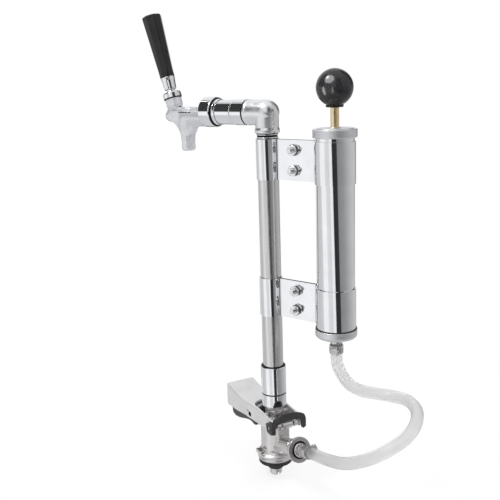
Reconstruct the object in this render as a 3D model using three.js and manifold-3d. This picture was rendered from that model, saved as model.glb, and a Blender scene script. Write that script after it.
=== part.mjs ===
// A hand-pumped beer tap tower: a lever-operated keg coupler, a chrome tower tube with an
// elbow and a draught faucet, and an air pump clamped beside the tube whose hose feeds the
// coupler. Millimetres, +Z up. The origin lies on the tower axis, at the underside of the
// coupler's keg seal. The faucet pours at -X and the pump stands at +X.

import * as THREE from 'three';
import { mergeVertices } from 'three/addons/utils/BufferGeometryUtils.js';
import Module from 'manifold-3d';

const wasm = await Module();
wasm.setup();

// ---------------------------------------------------------------- driving dimensions

const GAP = 0.3; // clearance between neighbouring pieces
const SLIP = 0.15; // clearance all round a pin, a rod or a clamped tube
const FINE = 16; // sides of the large turned pieces
const COARSE = 10; // sides of the small turned pieces
const WIDE = 24; // sides of the pump

// Coupler. Its own plane holds the gas inlet at one side and the lever at the other.
const INLET_HEADING = THREE.MathUtils.degToRad(-24);
const SEAL_R = 18.7;
const SEAL_THICK = 4.7;
const SEAL_NOSE_R = 8.6;
const SEAL_NOSE_LONG = 7.9;
const RING_R = 19.5;
const FLANGE_R = 20.1;
const RING_HIGH = 3.6;
const FLANGE_HIGH = 3.4;
const LUG_R = 22.4;
const LUG_HIGH = 4;
const LUG_LIFT = 1.5; // above the flange
const LUG_HALF_ANGLE = THREE.MathUtils.degToRad(15);
const BODY_R = 15.5;
const BODY_HIGH = 47.7;
const HINGE_REACH = 25; // tower axis to lever pivot
const HINGE_HALF_WIDE = 13;
const HINGE_HALF_HIGH = 3.6;
const PIVOT_ABOVE_BODY = 1;
const PIVOT_PIN_R = 2;
const COLUMN_HALF_WIDE = 7.6;
const COLUMN_HIGH = 21.7;
const KNUCKLE_SLOT = 1.6;

// Probe: the tube that the lever pushes down into the keg valve.
const PROBE_STEM_R = 6.8;
const PROBE_BORE_R = 4.8;
const PROBE_TIP_LONG = 8; // beyond the seal's nose
const PROBE_NECK_R = 10.4;
const PISTON_BOTTOM = 27;
const NECK_ABOVE_BODY = 15.3; // body top to the tower's nut
const GROOVE_DEEP = 2.4;
const ORING_HIGH = 2.8;
const ORING_DEEP = 1.5;
const CHECK_BALL_R = 5.2;
const STUB_R = 2.2; // lever studs that drive the probe
const STUB_PLAY = 0.5;
const STUB_ABOVE_PIVOT = 3.5;
const TIP_SLOT = 3.2;

// Gas inlet, tilted up from the coupler's side.
const INLET_TILT = THREE.MathUtils.degToRad(16);
const INLET_RISE = 19.7; // height where its axis meets the tower axis
const BOSS_R = 9.6;
const BOSS_END = 43;
const INLET_BORE_R = 4.2;
const SPIGOT_R = 6.8;
const SPIGOT_LONG = 11;
const FITTING_NECK_LONG = 9.4;
const FITTING_FLANGE_R = 13.7;
const FITTING_FLANGE_THICK = 3;
const RECESS_R = 8.9;
const WASHER_THICK = 1.2;
const VALVE_LONG = 7;

// Hose and its barbs.
const HOSE_R = 6;
const HOSE_BORE_R = 4.1;
const BARB_R = 3.45;
const BARB_BORE_R = 2.2;
const BARB_LONG = 14;
const BARB_RIDGES = 3;
const BARB_RIDGE_DEEP = 0.7;
const BARB_COLLAR_R = 6;
const INLET_COLLAR_R = 7.6;
const INLET_BARB_LONG = 20;
const CLAMP_RING_THICK = 0.9;
const CLAMP_RING_WIDE = 8.5;
const CLAMP_SCREW_R = 2.1;
const CLAMP_SCREW_LONG = 9;
const CLAMP_FROM_COLLAR = 3;
const INLET_CLAMP_FROM_COLLAR = 9.6;

// Lever.
const LEVER_TIP = 86; // tower axis to the tip
const LEVER_TIP_HALF_WIDE = 17.6;
const LEVER_HALF_WIDE = 19;
const ARM_THICK = 3.1;
const ARM_PAST_PIVOT = 4;
const HOOD_WALL = 2.7;
const FORK_END = 28; // tower axis to the closed end of the fork
const CUT_REACH = 40; // how far the lever's cutting shapes run past it
const TRIGGER_PIVOT = [-28.5, -1]; // from the tower axis, and from the lever pivot's height
const TRIGGER_PIN_R = 1.8;
const SPRING_R = 3.1;
const SPRING_WIRE_R = 0.45;
const SPRING_TURNS = 5;
const SPRING_WIDE = 8;
const CLIP_THICK = 2.3;

// Tower tube and the two fittings at its foot.
const TUBE_R = 11.1;
const TUBE_WALL = 1;
const TUBE_LONG = 272.7;
const NUT_R = 13.5;
const NUT_HIGH = 14.3;
const NUT_LIP = 3.8;
const SOCKET_R = 13.6;
const SOCKET_HIGH = 31.8;
const SOCKET_FLOOR = 5.5;
const SOCKET_SPIGOT_R = 8;
const BEER_BORE_R = 5.5;

// Elbow, shank and the faucet's nut.
const NIPPLE_R = 11.2;
const NIPPLE_COLLAR = 5;
const NIPPLE_SPIGOT_R = 9.6;
const NIPPLE_SPIGOT_LONG = 16;
const NIPPLE_BORE_R = 7.5;
const ELBOW_LEG_R = 12.4;
const ELBOW_BEAD_R = 13;
const ELBOW_BEAD_HIGH = 4.4;
const ELBOW_ARM_R = 13.5;
const ELBOW_RISE = 20.7;
const ELBOW_REACH = 23.3;
const ELBOW_SOCKET_LONG = 12;
const COLLAR_R = 13.3;
const COLLAR_LONG = 16;
const SHANK_R = 12.9;
const SHANK_LONG = 26.9;
const SHANK_FLANGE_R = 14;
const SHANK_FLANGE_LONG = 4.1;
const SHANK_BORE_R = 6.5;
const SEAT_CHAMBER_R = 9;
const FAUCET_NUT_R = 16;
const FAUCET_NUT_LONG = 21;
const FAUCET_NUT_BACK = 6.6;
const FAUCET_NUT_SHOULDER = 6.4;
const THREAD_CLEAR = 0.3;

// Faucet: everything is placed from the end of its nut.
const BARREL_R = 5.6;
const BULK_R = 9.8;
const BULK_DROP = 6.2;
const BODY_THREAD_LONG = 8.5;
const SEAT_FROM_END = 4.6;
const SPOUT_FROM_NUT = 29;
const SPOUT_LONG = 42.8;
const SPOUT_TOP_R = 9.6;
const SPOUT_LOW_R = 7.8;
const SPOUT_BORE_R = 5;
const WEB_HALF = 5.6;
const NOSE_FROM_NUT = 53;
const NOSE_R = 7;
const NOSE_DROP = 4.5;
const VALVE_SHAFT_R = 3.6;
const SEAT_BORE_R = 5.6;
const SEAT_WASHER_R = 7.4;
const SEAT_WASHER_THICK = 2.8;
const HANDLE_TILT = THREE.MathUtils.degToRad(16.5);
const HANDLE_THROW = THREE.MathUtils.degToRad(25);
const BOSS_FROM_NUT = 46.7;
const BOSS_LIFT = 5.7;
const FAUCET_BOSS_R = 9.2;
const FAUCET_BOSS_HIGH = 8.7;
const FAUCET_COLLAR_HIGH = 3.3;
const BALL_R = 6.2;
const BALL_LIFT = 10;
const LEG_R = 1.4;
const LEG_TIP_R = 1.6;
const LEG_TIP_DROP = 1.2; // below the valve shaft's axis
const STEM_R = 3;
const STEM_TOP = 44;
const BONNET_R = 10.35;
const BONNET_TOP = 16.3;
const NECK_FOOT_R = 3.6;
const NECK_TOP_R = 4.7;
const FERRULE_FOOT = 19.4;
const FERRULE_HIGH = 13.6;
const FERRULE_LOW_R = 6.6;
const HANDLE_LOW_R = 8.1;
const HANDLE_TOP_R = 11.1;
const HANDLE_LONG = 69.3;

// Pump.
const PUMP_OFFSET = 81.6; // tower axis to pump axis
const PUMP_BASE = 162;
const BARREL_OUTER_R = 19.05;
const BARREL_WALL = 1.2;
const PUMP_BARREL_LONG = 198.8;
const BASE_CAP_R = 21.3;
const BASE_CAP_HIGH = 9.3;
const BASE_CAP_FLOOR = 6.3;
const BASE_CAP_ROUND = 3.8;
const JOINT_RING_HIGH = 1;
const TOP_CAP_R = 21.8;
const TOP_CAP_HIGH = 8.9;
const TOP_CAP_STEP = 3.6;
const TOP_CAP_LAP = 3.3;
const ROD_GUIDE_R = 7.5;
const ROD_GUIDE_LONG = 7.5;
const OUTLET_BOSS_R = 6.2;
const OUTLET_BOSS_LONG = 3.1;
const OUTLET_FLANGE = 3;
const OUTLET_SPIGOT_R = 4.2;
const OUTLET_SPIGOT_LONG = 8;
const ROD_R = 4.15;
const ROD_SHOW = 19.8; // top cap to knob collar
const ROD_END_R = 3;
const CUP_THICK = 1.8;
const CUP_LIP = 5.5;
const CUP_WALL = 0.8;
const CUP_PLAY = 0.25;
const PISTON_HIGH = 6.5;
const PISTON_HUB_R = 8;
const PISTON_HUB_HIGH = 6;
const ROD_HEAD_R = 5.5;
const ROD_HEAD_HIGH = 1.8;
const KNOB_R = 18;
const KNOB_COLLAR_R = 8.6;
const KNOB_COLLAR_HIGH = 2.6;
const KNOB_SOCKET_DEEP = 10;

// Bracket pairs that clamp the pump to the tube.
const SHEET = 0.95;
const BRACKET_HIGH = 41.6;
const HIGH_BRACKET_UNDER_TUBE_TOP = 0.2;
const BOLT_X = 34;
const BOLT_PITCH = 20.7;
const BOLT_R = 2.9;
const BOLT_HEAD_FLATS = 10;
const BOLT_HEAD_HIGH = 4;
const NUT_THICK = 5;
const THREAD_PROUD = 5.2;

// Route of the hose's centre line, from the coupler's barb to the pump's.
const HOSE_STEPS = 24;
const HOSE_ROUTE = [
  [59.5, -26.5, 38.5], [68.5, -30.5, 41], [89.5, -40.5, 46], [108.5, -50.5, 52.3],
  [127, -58.5, 59.2], [145, -61, 67.7], [159, -58.5, 75.5], [171.5, -50, 84],
  [179.5, -37.5, 91], [181, -22.5, 97], [176.5, -6.5, 101.7], [166, 7.5, 103.7],
  [151.5, 16, 104.2], [134, 17.5, 103.3], [119, 14, 103.7], [107, 8, 105.7],
  [96.5, 2.5, 111.5], [88.5, -0.5, 122], [83.2, -0.8, 133], [81.6, 0, 143.5],
];

// ---------------------------------------------------------------- derived places

const bodyBase = SEAL_THICK + GAP;
const bodyTop = bodyBase + BODY_HIGH;
const boreR = PROBE_NECK_R + GAP;
const pivotZ = bodyTop + PIVOT_ABOVE_BODY;
const stubZ = pivotZ + STUB_ABOVE_PIVOT;
const armInner = LEVER_HALF_WIDE - ARM_THICK;
const nutBase = bodyTop + NECK_ABOVE_BODY;
const nutTop = nutBase + NUT_HIGH;
const nutShoulder = nutTop - NUT_LIP;
const socketShoulder = nutShoulder - GAP - 2;
const washerTop = socketShoulder - GAP;
const probeTop = washerTop - WASHER_THICK - GAP;
const socketBase = nutTop + GAP;
const socketTop = socketBase + SOCKET_HIGH;
const tubeBase = socketBase + SOCKET_FLOOR + GAP;
const tubeTop = tubeBase + TUBE_LONG;
const elbowBase = tubeTop + GAP + NIPPLE_COLLAR + GAP;
const shankZ = elbowBase + ELBOW_RISE;
const shankShoulder = -ELBOW_REACH - GAP - COLLAR_LONG - GAP;
const shankFlange = shankShoulder - SHANK_LONG;
const shankEnd = shankFlange - SHANK_FLANGE_LONG;
const faucetNutBack = shankFlange + FAUCET_NUT_BACK;
const faucetNutFront = faucetNutBack - FAUCET_NUT_LONG;
const faucetEnd = shankEnd - GAP - WASHER_THICK - GAP;
const spoutX = faucetNutFront - SPOUT_FROM_NUT;
const noseX = faucetNutFront - NOSE_FROM_NUT;
const seatX = faucetEnd - SEAT_FROM_END;
const legLong = (BOSS_LIFT + BALL_LIFT * Math.cos(HANDLE_TILT) + LEG_TIP_DROP) / Math.cos(HANDLE_TILT);
const legSweep = legLong * (Math.sin(HANDLE_TILT + HANDLE_THROW) - Math.sin(HANDLE_TILT));
const capRim = PUMP_BASE + BASE_CAP_HIGH;
const capFloor = PUMP_BASE + BASE_CAP_FLOOR;
const barrelBase = capFloor + GAP;
const barrelTop = barrelBase + PUMP_BARREL_LONG;
const barrelInner = BARREL_OUTER_R - BARREL_WALL;
const topCapBase = barrelTop + GAP - TOP_CAP_LAP;
const topCapTop = topCapBase + TOP_CAP_HIGH;
const knobCollarBase = topCapTop + ROD_SHOW;
const knobFlat = knobCollarBase + KNOB_COLLAR_HIGH + GAP;
const knobZ = knobFlat + Math.sqrt(KNOB_R ** 2 - (KNOB_COLLAR_R + GAP) ** 2);
const outletFace = PUMP_BASE - OUTLET_BOSS_LONG - GAP;
const hoseTop = outletFace - OUTLET_FLANGE - GAP;
const lowBracketZ = capRim + SLIP + JOINT_RING_HIGH + SLIP;
const highBracketZ = Math.min(tubeTop - HIGH_BRACKET_UNDER_TUBE_TOP, topCapBase - GAP) - BRACKET_HIGH;
const cupBase = barrelBase + 4.1;
const fittingBack = BOSS_END + GAP;
const fittingFace = fittingBack + FITTING_NECK_LONG + FITTING_FLANGE_THICK;
const collarFace = fittingFace + 2.2;
const hoseFoot = collarFace + GAP;

// ---------------------------------------------------------------- geometry helpers

// One closed shell of bare positions: shared corners merged, collapsed faces dropped,
// and faces turned outward.
function shell(geometry) {
  const bare = geometry.clone();
  for (const name of Object.keys(bare.attributes)) {
    if (name !== 'position') bare.deleteAttribute(name);
  }
  const merged = mergeVertices(bare, 1e-4);
  const place = merged.attributes.position;
  const faces = [];
  for (let i = 0; i < merged.index.count; i += 3) {
    const [a, b, c] = [merged.index.getX(i), merged.index.getX(i + 1), merged.index.getX(i + 2)];
    if (a !== b && b !== c && a !== c) faces.push([a, b, c]);
  }
  const corner = (i) => new THREE.Vector3().fromBufferAttribute(place, i);
  const volume = faces.reduce((sum, [a, b, c]) => sum + corner(a).dot(corner(b).cross(corner(c))), 0);
  const index = volume < 0 ? faces.map(([a, b, c]) => [a, c, b]) : faces;
  const out = new THREE.BufferGeometry();
  out.setAttribute('position', new THREE.BufferAttribute(Float32Array.from(place.array), 3));
  out.setIndex(index.flat());
  return out;
}

function toManifold(geometry) {
  return new wasm.Manifold(new wasm.Mesh({
    numProp: 3,
    vertProperties: Float32Array.from(geometry.attributes.position.array),
    triVerts: Uint32Array.from(geometry.index.array),
  }));
}

function fromManifold(solid) {
  const mesh = solid.getMesh();
  const out = new THREE.BufferGeometry();
  out.setAttribute('position', new THREE.BufferAttribute(Float32Array.from(mesh.vertProperties), 3));
  out.setIndex(Array.from(mesh.triVerts));
  return shell(out);
}

const combine = (method) => (first, ...rest) =>
  fromManifold(rest.reduce((sum, next) => sum[method](toManifold(next)), toManifold(first)));
const join = combine('add');
const cut = combine('subtract');
const overlap = combine('intersect');

// A turned piece about Z from its [radius, height] outline. An outline that isn't on the
// axis at both ends closes on itself.
function turned(outline, sides = FINE) {
  const points = outline.map(([r, z]) => new THREE.Vector2(r, z));
  const onAxis = outline[0][0] === 0 && outline.at(-1)[0] === 0;
  if (!onAxis) points.push(points[0].clone());
  return shell(new THREE.LatheGeometry(points, sides).rotateX(Math.PI / 2));
}

const ring = (inner, outer, low, high, sides) =>
  turned([[inner, low], [outer, low], [outer, high], [inner, high]], sides);
const rod = (r, low, high, sides) => turned([[0, low], [r, low], [r, high], [0, high]], sides);

// Turns a piece made about Z so that it stands on a point along a direction.
function aimed(geometry, [x, y, z], [dx, dy, dz]) {
  const turn = new THREE.Quaternion().setFromUnitVectors(
    new THREE.Vector3(0, 0, 1),
    new THREE.Vector3(dx, dy, dz).normalize(),
  );
  return shell(geometry.clone().applyQuaternion(turn).translate(x, y, z));
}

const alongY = (geometry, x, z) => aimed(geometry, [x, 0, z], [0, 1, 0]);
const alongX = (geometry, z = 0) => aimed(geometry, [0, 0, z], [1, 0, 0]);

function block(x0, x1, y0, y1, z0, z1) {
  const box = new THREE.BoxGeometry(x1 - x0, y1 - y0, z1 - z0);
  return shell(box.translate((x0 + x1) / 2, (y0 + y1) / 2, (z0 + z1) / 2));
}

// An outline in XY pulled up along Z.
function pulledUp(points, low, high) {
  const outline = new THREE.Shape(points.map(([x, y]) => new THREE.Vector2(x, y)));
  const solid = new THREE.ExtrudeGeometry(outline, { depth: high - low, bevelEnabled: false });
  return shell(solid.translate(0, 0, low));
}

// An outline in XZ pulled along Y, between -half and +half.
function pulledAcross(points, half) {
  const outline = new THREE.Shape(points.map(([x, z]) => new THREE.Vector2(x, z)));
  const solid = new THREE.ExtrudeGeometry(outline, { depth: 2 * half, bevelEnabled: false });
  return shell(solid.translate(0, 0, -half).rotateX(Math.PI / 2));
}

// An outline in YZ pulled along X.
function pulledForward(points, from, to) {
  const outline = new THREE.Shape(points.map(([y, z]) => new THREE.Vector2(y, z)));
  const solid = new THREE.ExtrudeGeometry(outline, { depth: to - from, bevelEnabled: false });
  const turn = new THREE.Matrix4().makeBasis(
    new THREE.Vector3(0, 1, 0), new THREE.Vector3(0, 0, 1), new THREE.Vector3(1, 0, 0));
  return shell(solid.applyMatrix4(turn).translate(from, 0, 0));
}

// Points on an arc about a centre, both ends included.
function arc(cx, cy, r, from, to, steps) {
  return Array.from({ length: steps + 1 }, (_, i) => {
    const a = from + ((to - from) * i) / steps;
    return [cx + r * Math.cos(a), cy + r * Math.sin(a)];
  });
}

function ball(r, x, y, z, sides = 18) {
  return shell(new THREE.SphereGeometry(r, sides, Math.round(sides * 0.6)).translate(x, y, z));
}

// ---------------------------------------------------------------- materials and nodes

const finish = (color, roughness, metalness) =>
  new THREE.MeshStandardMaterial({ color, roughness, metalness });
const FINISH = {
  chrome: finish(0xd9dbde, 0.08, 1),
  nickel: finish(0xcfccc7, 0.28, 1),
  satin: finish(0xc9cacc, 0.35, 1),
  steel: finish(0xb9bbbe, 0.3, 1),
  brass: finish(0xc79a4b, 0.25, 1),
  black: finish(0x1c1c1e, 0.35, 0),
  rubber: finish(0x17181a, 0.8, 0),
  washer: finish(0x6a6d70, 0.8, 0),
  nylon: finish(0xe4e2da, 0.5, 0),
  hose: finish(0xdfe4e6, 0.15, 0),
};

const tower = new THREE.Group();
const coupler = new THREE.Group();
coupler.rotation.z = INLET_HEADING;
const inlet = new THREE.Group();
inlet.position.z = INLET_RISE;
inlet.rotation.y = Math.PI / 2 - INLET_TILT;
coupler.add(inlet);
const faucet = new THREE.Group();
faucet.position.z = shankZ;
const faucetHead = new THREE.Group();
faucetHead.position.set(faucetNutFront - BOSS_FROM_NUT, 0, BOSS_LIFT);
faucetHead.rotation.y = -HANDLE_TILT;
faucet.add(faucetHead);
const pump = new THREE.Group();
pump.position.x = PUMP_OFFSET;
tower.add(coupler, faucet, pump);

function node(name, geometry, material, parent = tower) {
  const mesh = new THREE.Mesh(geometry, FINISH[material]);
  mesh.name = name;
  parent.add(mesh);
  return mesh;
}

// ---------------------------------------------------------------- keg coupler

const inletAxis = [Math.cos(INLET_TILT), 0, Math.sin(INLET_TILT)];
const onInletAxis = (geometry) => aimed(geometry, [0, 0, INLET_RISE], inletAxis);

function couplerBody() {
  const ringTop = bodyBase + RING_HIGH;
  const flangeTop = ringTop + FLANGE_HIGH;
  const shoulder = flangeTop + 5;
  const casting = turned([
    [0, bodyBase], [RING_R, bodyBase], [RING_R, ringTop - 1.1], [RING_R - 1.3, ringTop - 0.7],
    [RING_R - 1.3, ringTop], [FLANGE_R, ringTop + 0.4], [FLANGE_R, flangeTop],
    [BODY_R + 2, flangeTop + 2], [BODY_R + 0.6, flangeTop + 3.6], [BODY_R, shoulder],
    [BODY_R, bodyTop - 0.8], [BODY_R - 0.8, bodyTop], [0, bodyTop],
  ]);
  const lugs = [1, -1].map((side) => {
    const middle = (side * Math.PI) / 2;
    const from = middle - LUG_HALF_ANGLE;
    const to = middle + LUG_HALF_ANGLE;
    const outline = [...arc(0, 0, LUG_R, from, to, 5), ...arc(0, 0, BODY_R - 2, to, from, 3)];
    return pulledUp(outline, flangeTop + LUG_LIFT, flangeTop + LUG_LIFT + LUG_HIGH);
  });
  const boss = onInletAxis(rod(BOSS_R, BODY_R / 2, BOSS_END));
  const hinge = pulledAcross([
    [boreR + 1.3, pivotZ - HINGE_HALF_HIGH], [HINGE_REACH + 3.6, pivotZ - HINGE_HALF_HIGH],
    [HINGE_REACH + 5, pivotZ - 1.4], [HINGE_REACH + 5, pivotZ + 1.4],
    [HINGE_REACH + 3.6, pivotZ + HINGE_HALF_HIGH], [boreR + 1.3, pivotZ + HINGE_HALF_HIGH],
  ], HINGE_HALF_WIDE);
  const column = block(
    boreR + 1.3, HINGE_REACH - 5, -COLUMN_HALF_WIDE, COLUMN_HALF_WIDE,
    pivotZ - HINGE_HALF_HIGH - COLUMN_HIGH, pivotZ);
  const bore = turned([
    [0, bodyBase - 1], [SEAL_NOSE_R + 0.7, bodyBase - 1], [SEAL_NOSE_R + 0.7, PISTON_BOTTOM - 10],
    [boreR, PISTON_BOTTOM - 8.5], [boreR, bodyTop + 1], [0, bodyTop + 1],
  ]);
  const gasWay = onInletAxis(rod(INLET_BORE_R, 5, BOSS_END));
  const spigotBore = onInletAxis(rod(SPIGOT_R + GAP, BOSS_END - SPIGOT_LONG - GAP, BOSS_END + 1));
  const pinHole = alongY(rod(PIVOT_PIN_R + GAP, -30, 30, COARSE), HINGE_REACH, pivotZ);
  const slots = [1, -1].map((side) => {
    const middle = side * (COLUMN_HALF_WIDE - 0.6);
    return block(
      HINGE_REACH - 1, HINGE_REACH + 8, middle - KNUCKLE_SLOT / 2, middle + KNUCKLE_SLOT / 2,
      pivotZ - HINGE_HALF_HIGH - 1, pivotZ + HINGE_HALF_HIGH + 1);
  });
  return cut(join(casting, ...lugs, boss, hinge, column), bore, gasWay, spigotBore, pinHole, ...slots);
}

function kegSeal() {
  const hole = PROBE_STEM_R + GAP;
  return turned([
    [hole, -SEAL_NOSE_LONG], [SEAL_NOSE_R, -SEAL_NOSE_LONG], [SEAL_NOSE_R, -0.9],
    [SEAL_NOSE_R + 0.9, 0], [SEAL_R - 0.5, 0], [SEAL_R, 0.6], [SEAL_R, SEAL_THICK],
    [hole, SEAL_THICK],
  ]);
}

const ringGrooves = [PISTON_BOTTOM + 1, PISTON_BOTTOM + 7];
const orings = ringGrooves.map((low) =>
  ring(PROBE_NECK_R - ORING_DEEP + SLIP, PROBE_NECK_R + SLIP, low + SLIP, low + ORING_HIGH));

function probeTube() {
  const tip = -SEAL_NOSE_LONG - PROBE_TIP_LONG;
  const deep = PROBE_NECK_R - ORING_DEEP;
  const oringGrooves = ringGrooves.flatMap((low) => [
    [PROBE_NECK_R, low], [deep, low], [deep, low + ORING_HIGH + SLIP],
    [PROBE_NECK_R, low + ORING_HIGH + SLIP],
  ]);
  const low = stubZ - STUB_R - STUB_PLAY;
  const high = stubZ + STUB_R + STUB_PLAY;
  const waist = PROBE_NECK_R - GROOVE_DEEP;
  const ballSeat = high + 1.8;
  const tube = turned([
    [PROBE_BORE_R, tip], [PROBE_STEM_R - 0.9, tip], [PROBE_STEM_R, tip + 1.4],
    [PROBE_STEM_R, PISTON_BOTTOM], [PROBE_NECK_R, PISTON_BOTTOM], ...oringGrooves,
    [PROBE_NECK_R, low], [waist, low], [waist, high], [PROBE_NECK_R, high],
    [PROBE_NECK_R, probeTop], [PROBE_NECK_R - 3.4, probeTop], [PROBE_NECK_R - 3.4, ballSeat + 2],
    [PROBE_BORE_R, ballSeat],
  ]);
  const slot = block(-20, 20, -TIP_SLOT / 2, TIP_SLOT / 2, tip - 1, tip + 3.4);
  const seatHigh = ballSeat + Math.sqrt((CHECK_BALL_R + SLIP) ** 2 - PROBE_BORE_R ** 2);
  return { tube: cut(tube, slot), checkBall: ball(CHECK_BALL_R, 0, 0, seatHigh, 12) };
}

function barb(from, collar, long = BARB_LONG, sides = COARSE) {
  // [radius, height] outline of the ridged stretch, from the collar outward
  const step = long / BARB_RIDGES;
  const ridges = Array.from({ length: BARB_RIDGES }, (_, i) => [
    [BARB_R, from + i * step], [BARB_R - BARB_RIDGE_DEEP, from + (i + 1) * step],
  ]).flat();
  return turned([...collar, ...ridges, [BARB_BORE_R, from + long]], sides);
}

// A worm-drive hose clamp about Z: its band and, at +X, the housing with its screw.
function hoseClamp() {
  const inner = HOSE_R + GAP;
  const outer = inner + CLAMP_RING_THICK;
  const half = CLAMP_RING_WIDE / 2;
  const band = ring(inner, outer, -half, half, FINE);
  const housing = block(outer - 0.5, outer + 2 * CLAMP_SCREW_R, -3, 3, -half + 1, half - 1);
  const screw = alongY(rod(CLAMP_SCREW_R, -CLAMP_SCREW_LONG / 2, CLAMP_SCREW_LONG / 2, 12),
    outer + CLAMP_SCREW_R, 0);
  return cut(join(band, housing, screw), rod(inner, -half - 1, half + 1, FINE));
}

function buildCoupler() {
  node('coupler_body', couplerBody(), 'nickel', coupler);
  node('keg_seal', kegSeal(), 'rubber', coupler);
  const probe = probeTube();
  node('probe', probe.tube, 'chrome', coupler);
  node('probe_check_ball', probe.checkBall, 'steel', coupler);
  node('probe_lower_seal', orings[0], 'rubber', coupler);
  node('probe_upper_seal', orings[1], 'rubber', coupler);
  const pinLong = LEVER_HALF_WIDE + GAP + CLIP_THICK;
  const pin = alongY(rod(PIVOT_PIN_R, -pinLong, pinLong, COARSE), HINGE_REACH, pivotZ);
  node('lever_pivot_pin', pin, 'steel', coupler);

  // Pieces on the inlet's axis are made about Z and stand in the inlet's group.
  const spigotFoot = BOSS_END - SPIGOT_LONG;
  const washerFoot = spigotFoot;
  const fittingFoot = washerFoot + WASHER_THICK + GAP;
  const flangeBack = fittingFace - FITTING_FLANGE_THICK;
  const fittingBore = BARB_COLLAR_R - 1.6;
  node('gas_inlet_fitting', turned([
    [fittingBore, fittingFoot], [SPIGOT_R, fittingFoot], [SPIGOT_R, fittingBack],
    [BOSS_R + 0.2, fittingBack], [BOSS_R + 0.2, flangeBack], [FITTING_FLANGE_R, flangeBack],
    [FITTING_FLANGE_R, fittingFace - 0.5], [FITTING_FLANGE_R - 0.5, fittingFace],
    [RECESS_R, fittingFace], [RECESS_R, flangeBack - 1], [fittingBore, flangeBack - 1],
  ]), 'nickel', inlet);
  node('inlet_washer', ring(INLET_BORE_R - 1.2, SPIGOT_R, washerFoot, washerFoot + WASHER_THICK, COARSE),
    'washer', inlet);
  node('inlet_check_valve', turned([
    [0, washerFoot - VALVE_LONG], [INLET_BORE_R - GAP, washerFoot - VALVE_LONG + 4],
    [INLET_BORE_R - GAP, washerFoot - GAP], [0, washerFoot - GAP],
  ], COARSE), 'rubber', inlet);
  const collarBack = flangeBack - 1 + GAP;
  node('inlet_tailpiece', barb(collarFace, [
    [BARB_BORE_R, fittingFoot + 2], [fittingBore - GAP, fittingFoot + 2],
    [fittingBore - GAP, collarBack], [INLET_COLLAR_R, collarBack], [INLET_COLLAR_R, collarFace - 0.8],
    [INLET_COLLAR_R - 0.8, collarFace],
  ], INLET_BARB_LONG, FINE), 'nickel', inlet);
  const lowClamp = node('hose_clamp_lower', hoseClamp(), 'steel', inlet);
  lowClamp.position.z = hoseFoot + INLET_CLAMP_FROM_COLLAR + CLAMP_RING_WIDE / 2;
  lowClamp.rotation.z = THREE.MathUtils.degToRad(98);
}

// ---------------------------------------------------------------- coupler lever

// Heights here are counted from the lever's pivot, and its side outline grows with its length.
const leverUnit = LEVER_TIP / 86;
const ofLever = (points) => points.map(([x, z]) => [x * leverUnit, z * leverUnit]);
const leverTop = ofLever([
  [-83, 13.9], [-72, 11.4], [-61, 9.3], [-50, 8.4], [-40, 8.3], [-28, 9.3], [-14, 10.4], [-3, 10.2],
  [8, 9],
]);
const armEnd = HINGE_REACH + ARM_PAST_PIVOT;

function leverCasting() {
  const outline = [
    ...leverTop, ...ofLever([[18, 8.2]]), [armEnd - 2.5, 7.8], [armEnd, 5.8], [armEnd, -4],
    [armEnd - 3, -6],
    ...ofLever([[12, -6.8], [2, -7.8], [-15, -8.3], [-40, -10.4], [-63, -13.1], [-83.5, -14],
      [-86, -8.7], [-85.4, 9]]),
  ];
  const slab = pulledAcross(outline, LEVER_HALF_WIDE);
  const plan = pulledUp([
    [-LEVER_TIP, -LEVER_TIP_HALF_WIDE + 1.5], [-LEVER_TIP + 2, -LEVER_TIP_HALF_WIDE],
    [-12 * leverUnit, -LEVER_HALF_WIDE], [armEnd, -LEVER_HALF_WIDE], [armEnd, LEVER_HALF_WIDE],
    [-12 * leverUnit, LEVER_HALF_WIDE], [-LEVER_TIP + 2, LEVER_TIP_HALF_WIDE],
    [-LEVER_TIP, LEVER_TIP_HALF_WIDE - 1.5],
  ], -CUT_REACH, CUT_REACH);
  const hollow = pulledAcross([
    ...leverTop.slice(1, -2).map(([x, z]) => [x, z - HOOD_WALL]), ...ofLever([[-10, 7.7], [-10, -24]]),
    [-LEVER_TIP + HOOD_WALL, -24 * leverUnit], [-LEVER_TIP + HOOD_WALL + 0.5, 9 * leverUnit],
  ], LEVER_TIP_HALF_WIDE - HOOD_WALL);
  const forkRound = rod(armInner, -CUT_REACH, CUT_REACH).translate(armInner - FORK_END, 0, 0);
  const fork = block(armInner - FORK_END, armEnd + 10, -armInner, armInner, -CUT_REACH, CUT_REACH);
  const pinHole = alongY(rod(PIVOT_PIN_R + SLIP, -CUT_REACH, CUT_REACH, COARSE), HINGE_REACH, 0);
  const triggerHole = alongY(rod(TRIGGER_PIN_R + SLIP, -CUT_REACH, CUT_REACH, 16), ...TRIGGER_PIVOT);
  const arms = cut(overlap(slab, plan), hollow, forkRound, fork, pinHole, triggerHole);
  const studReach = PROBE_NECK_R - GROOVE_DEEP + 0.6;
  const studs = [1, -1].map((side) =>
    aimed(rod(STUB_R, studReach, armInner + 1, 14), [0, 0, STUB_ABOVE_PIVOT], [0, side, 0]));
  return join(arms, ...studs);
}

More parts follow.
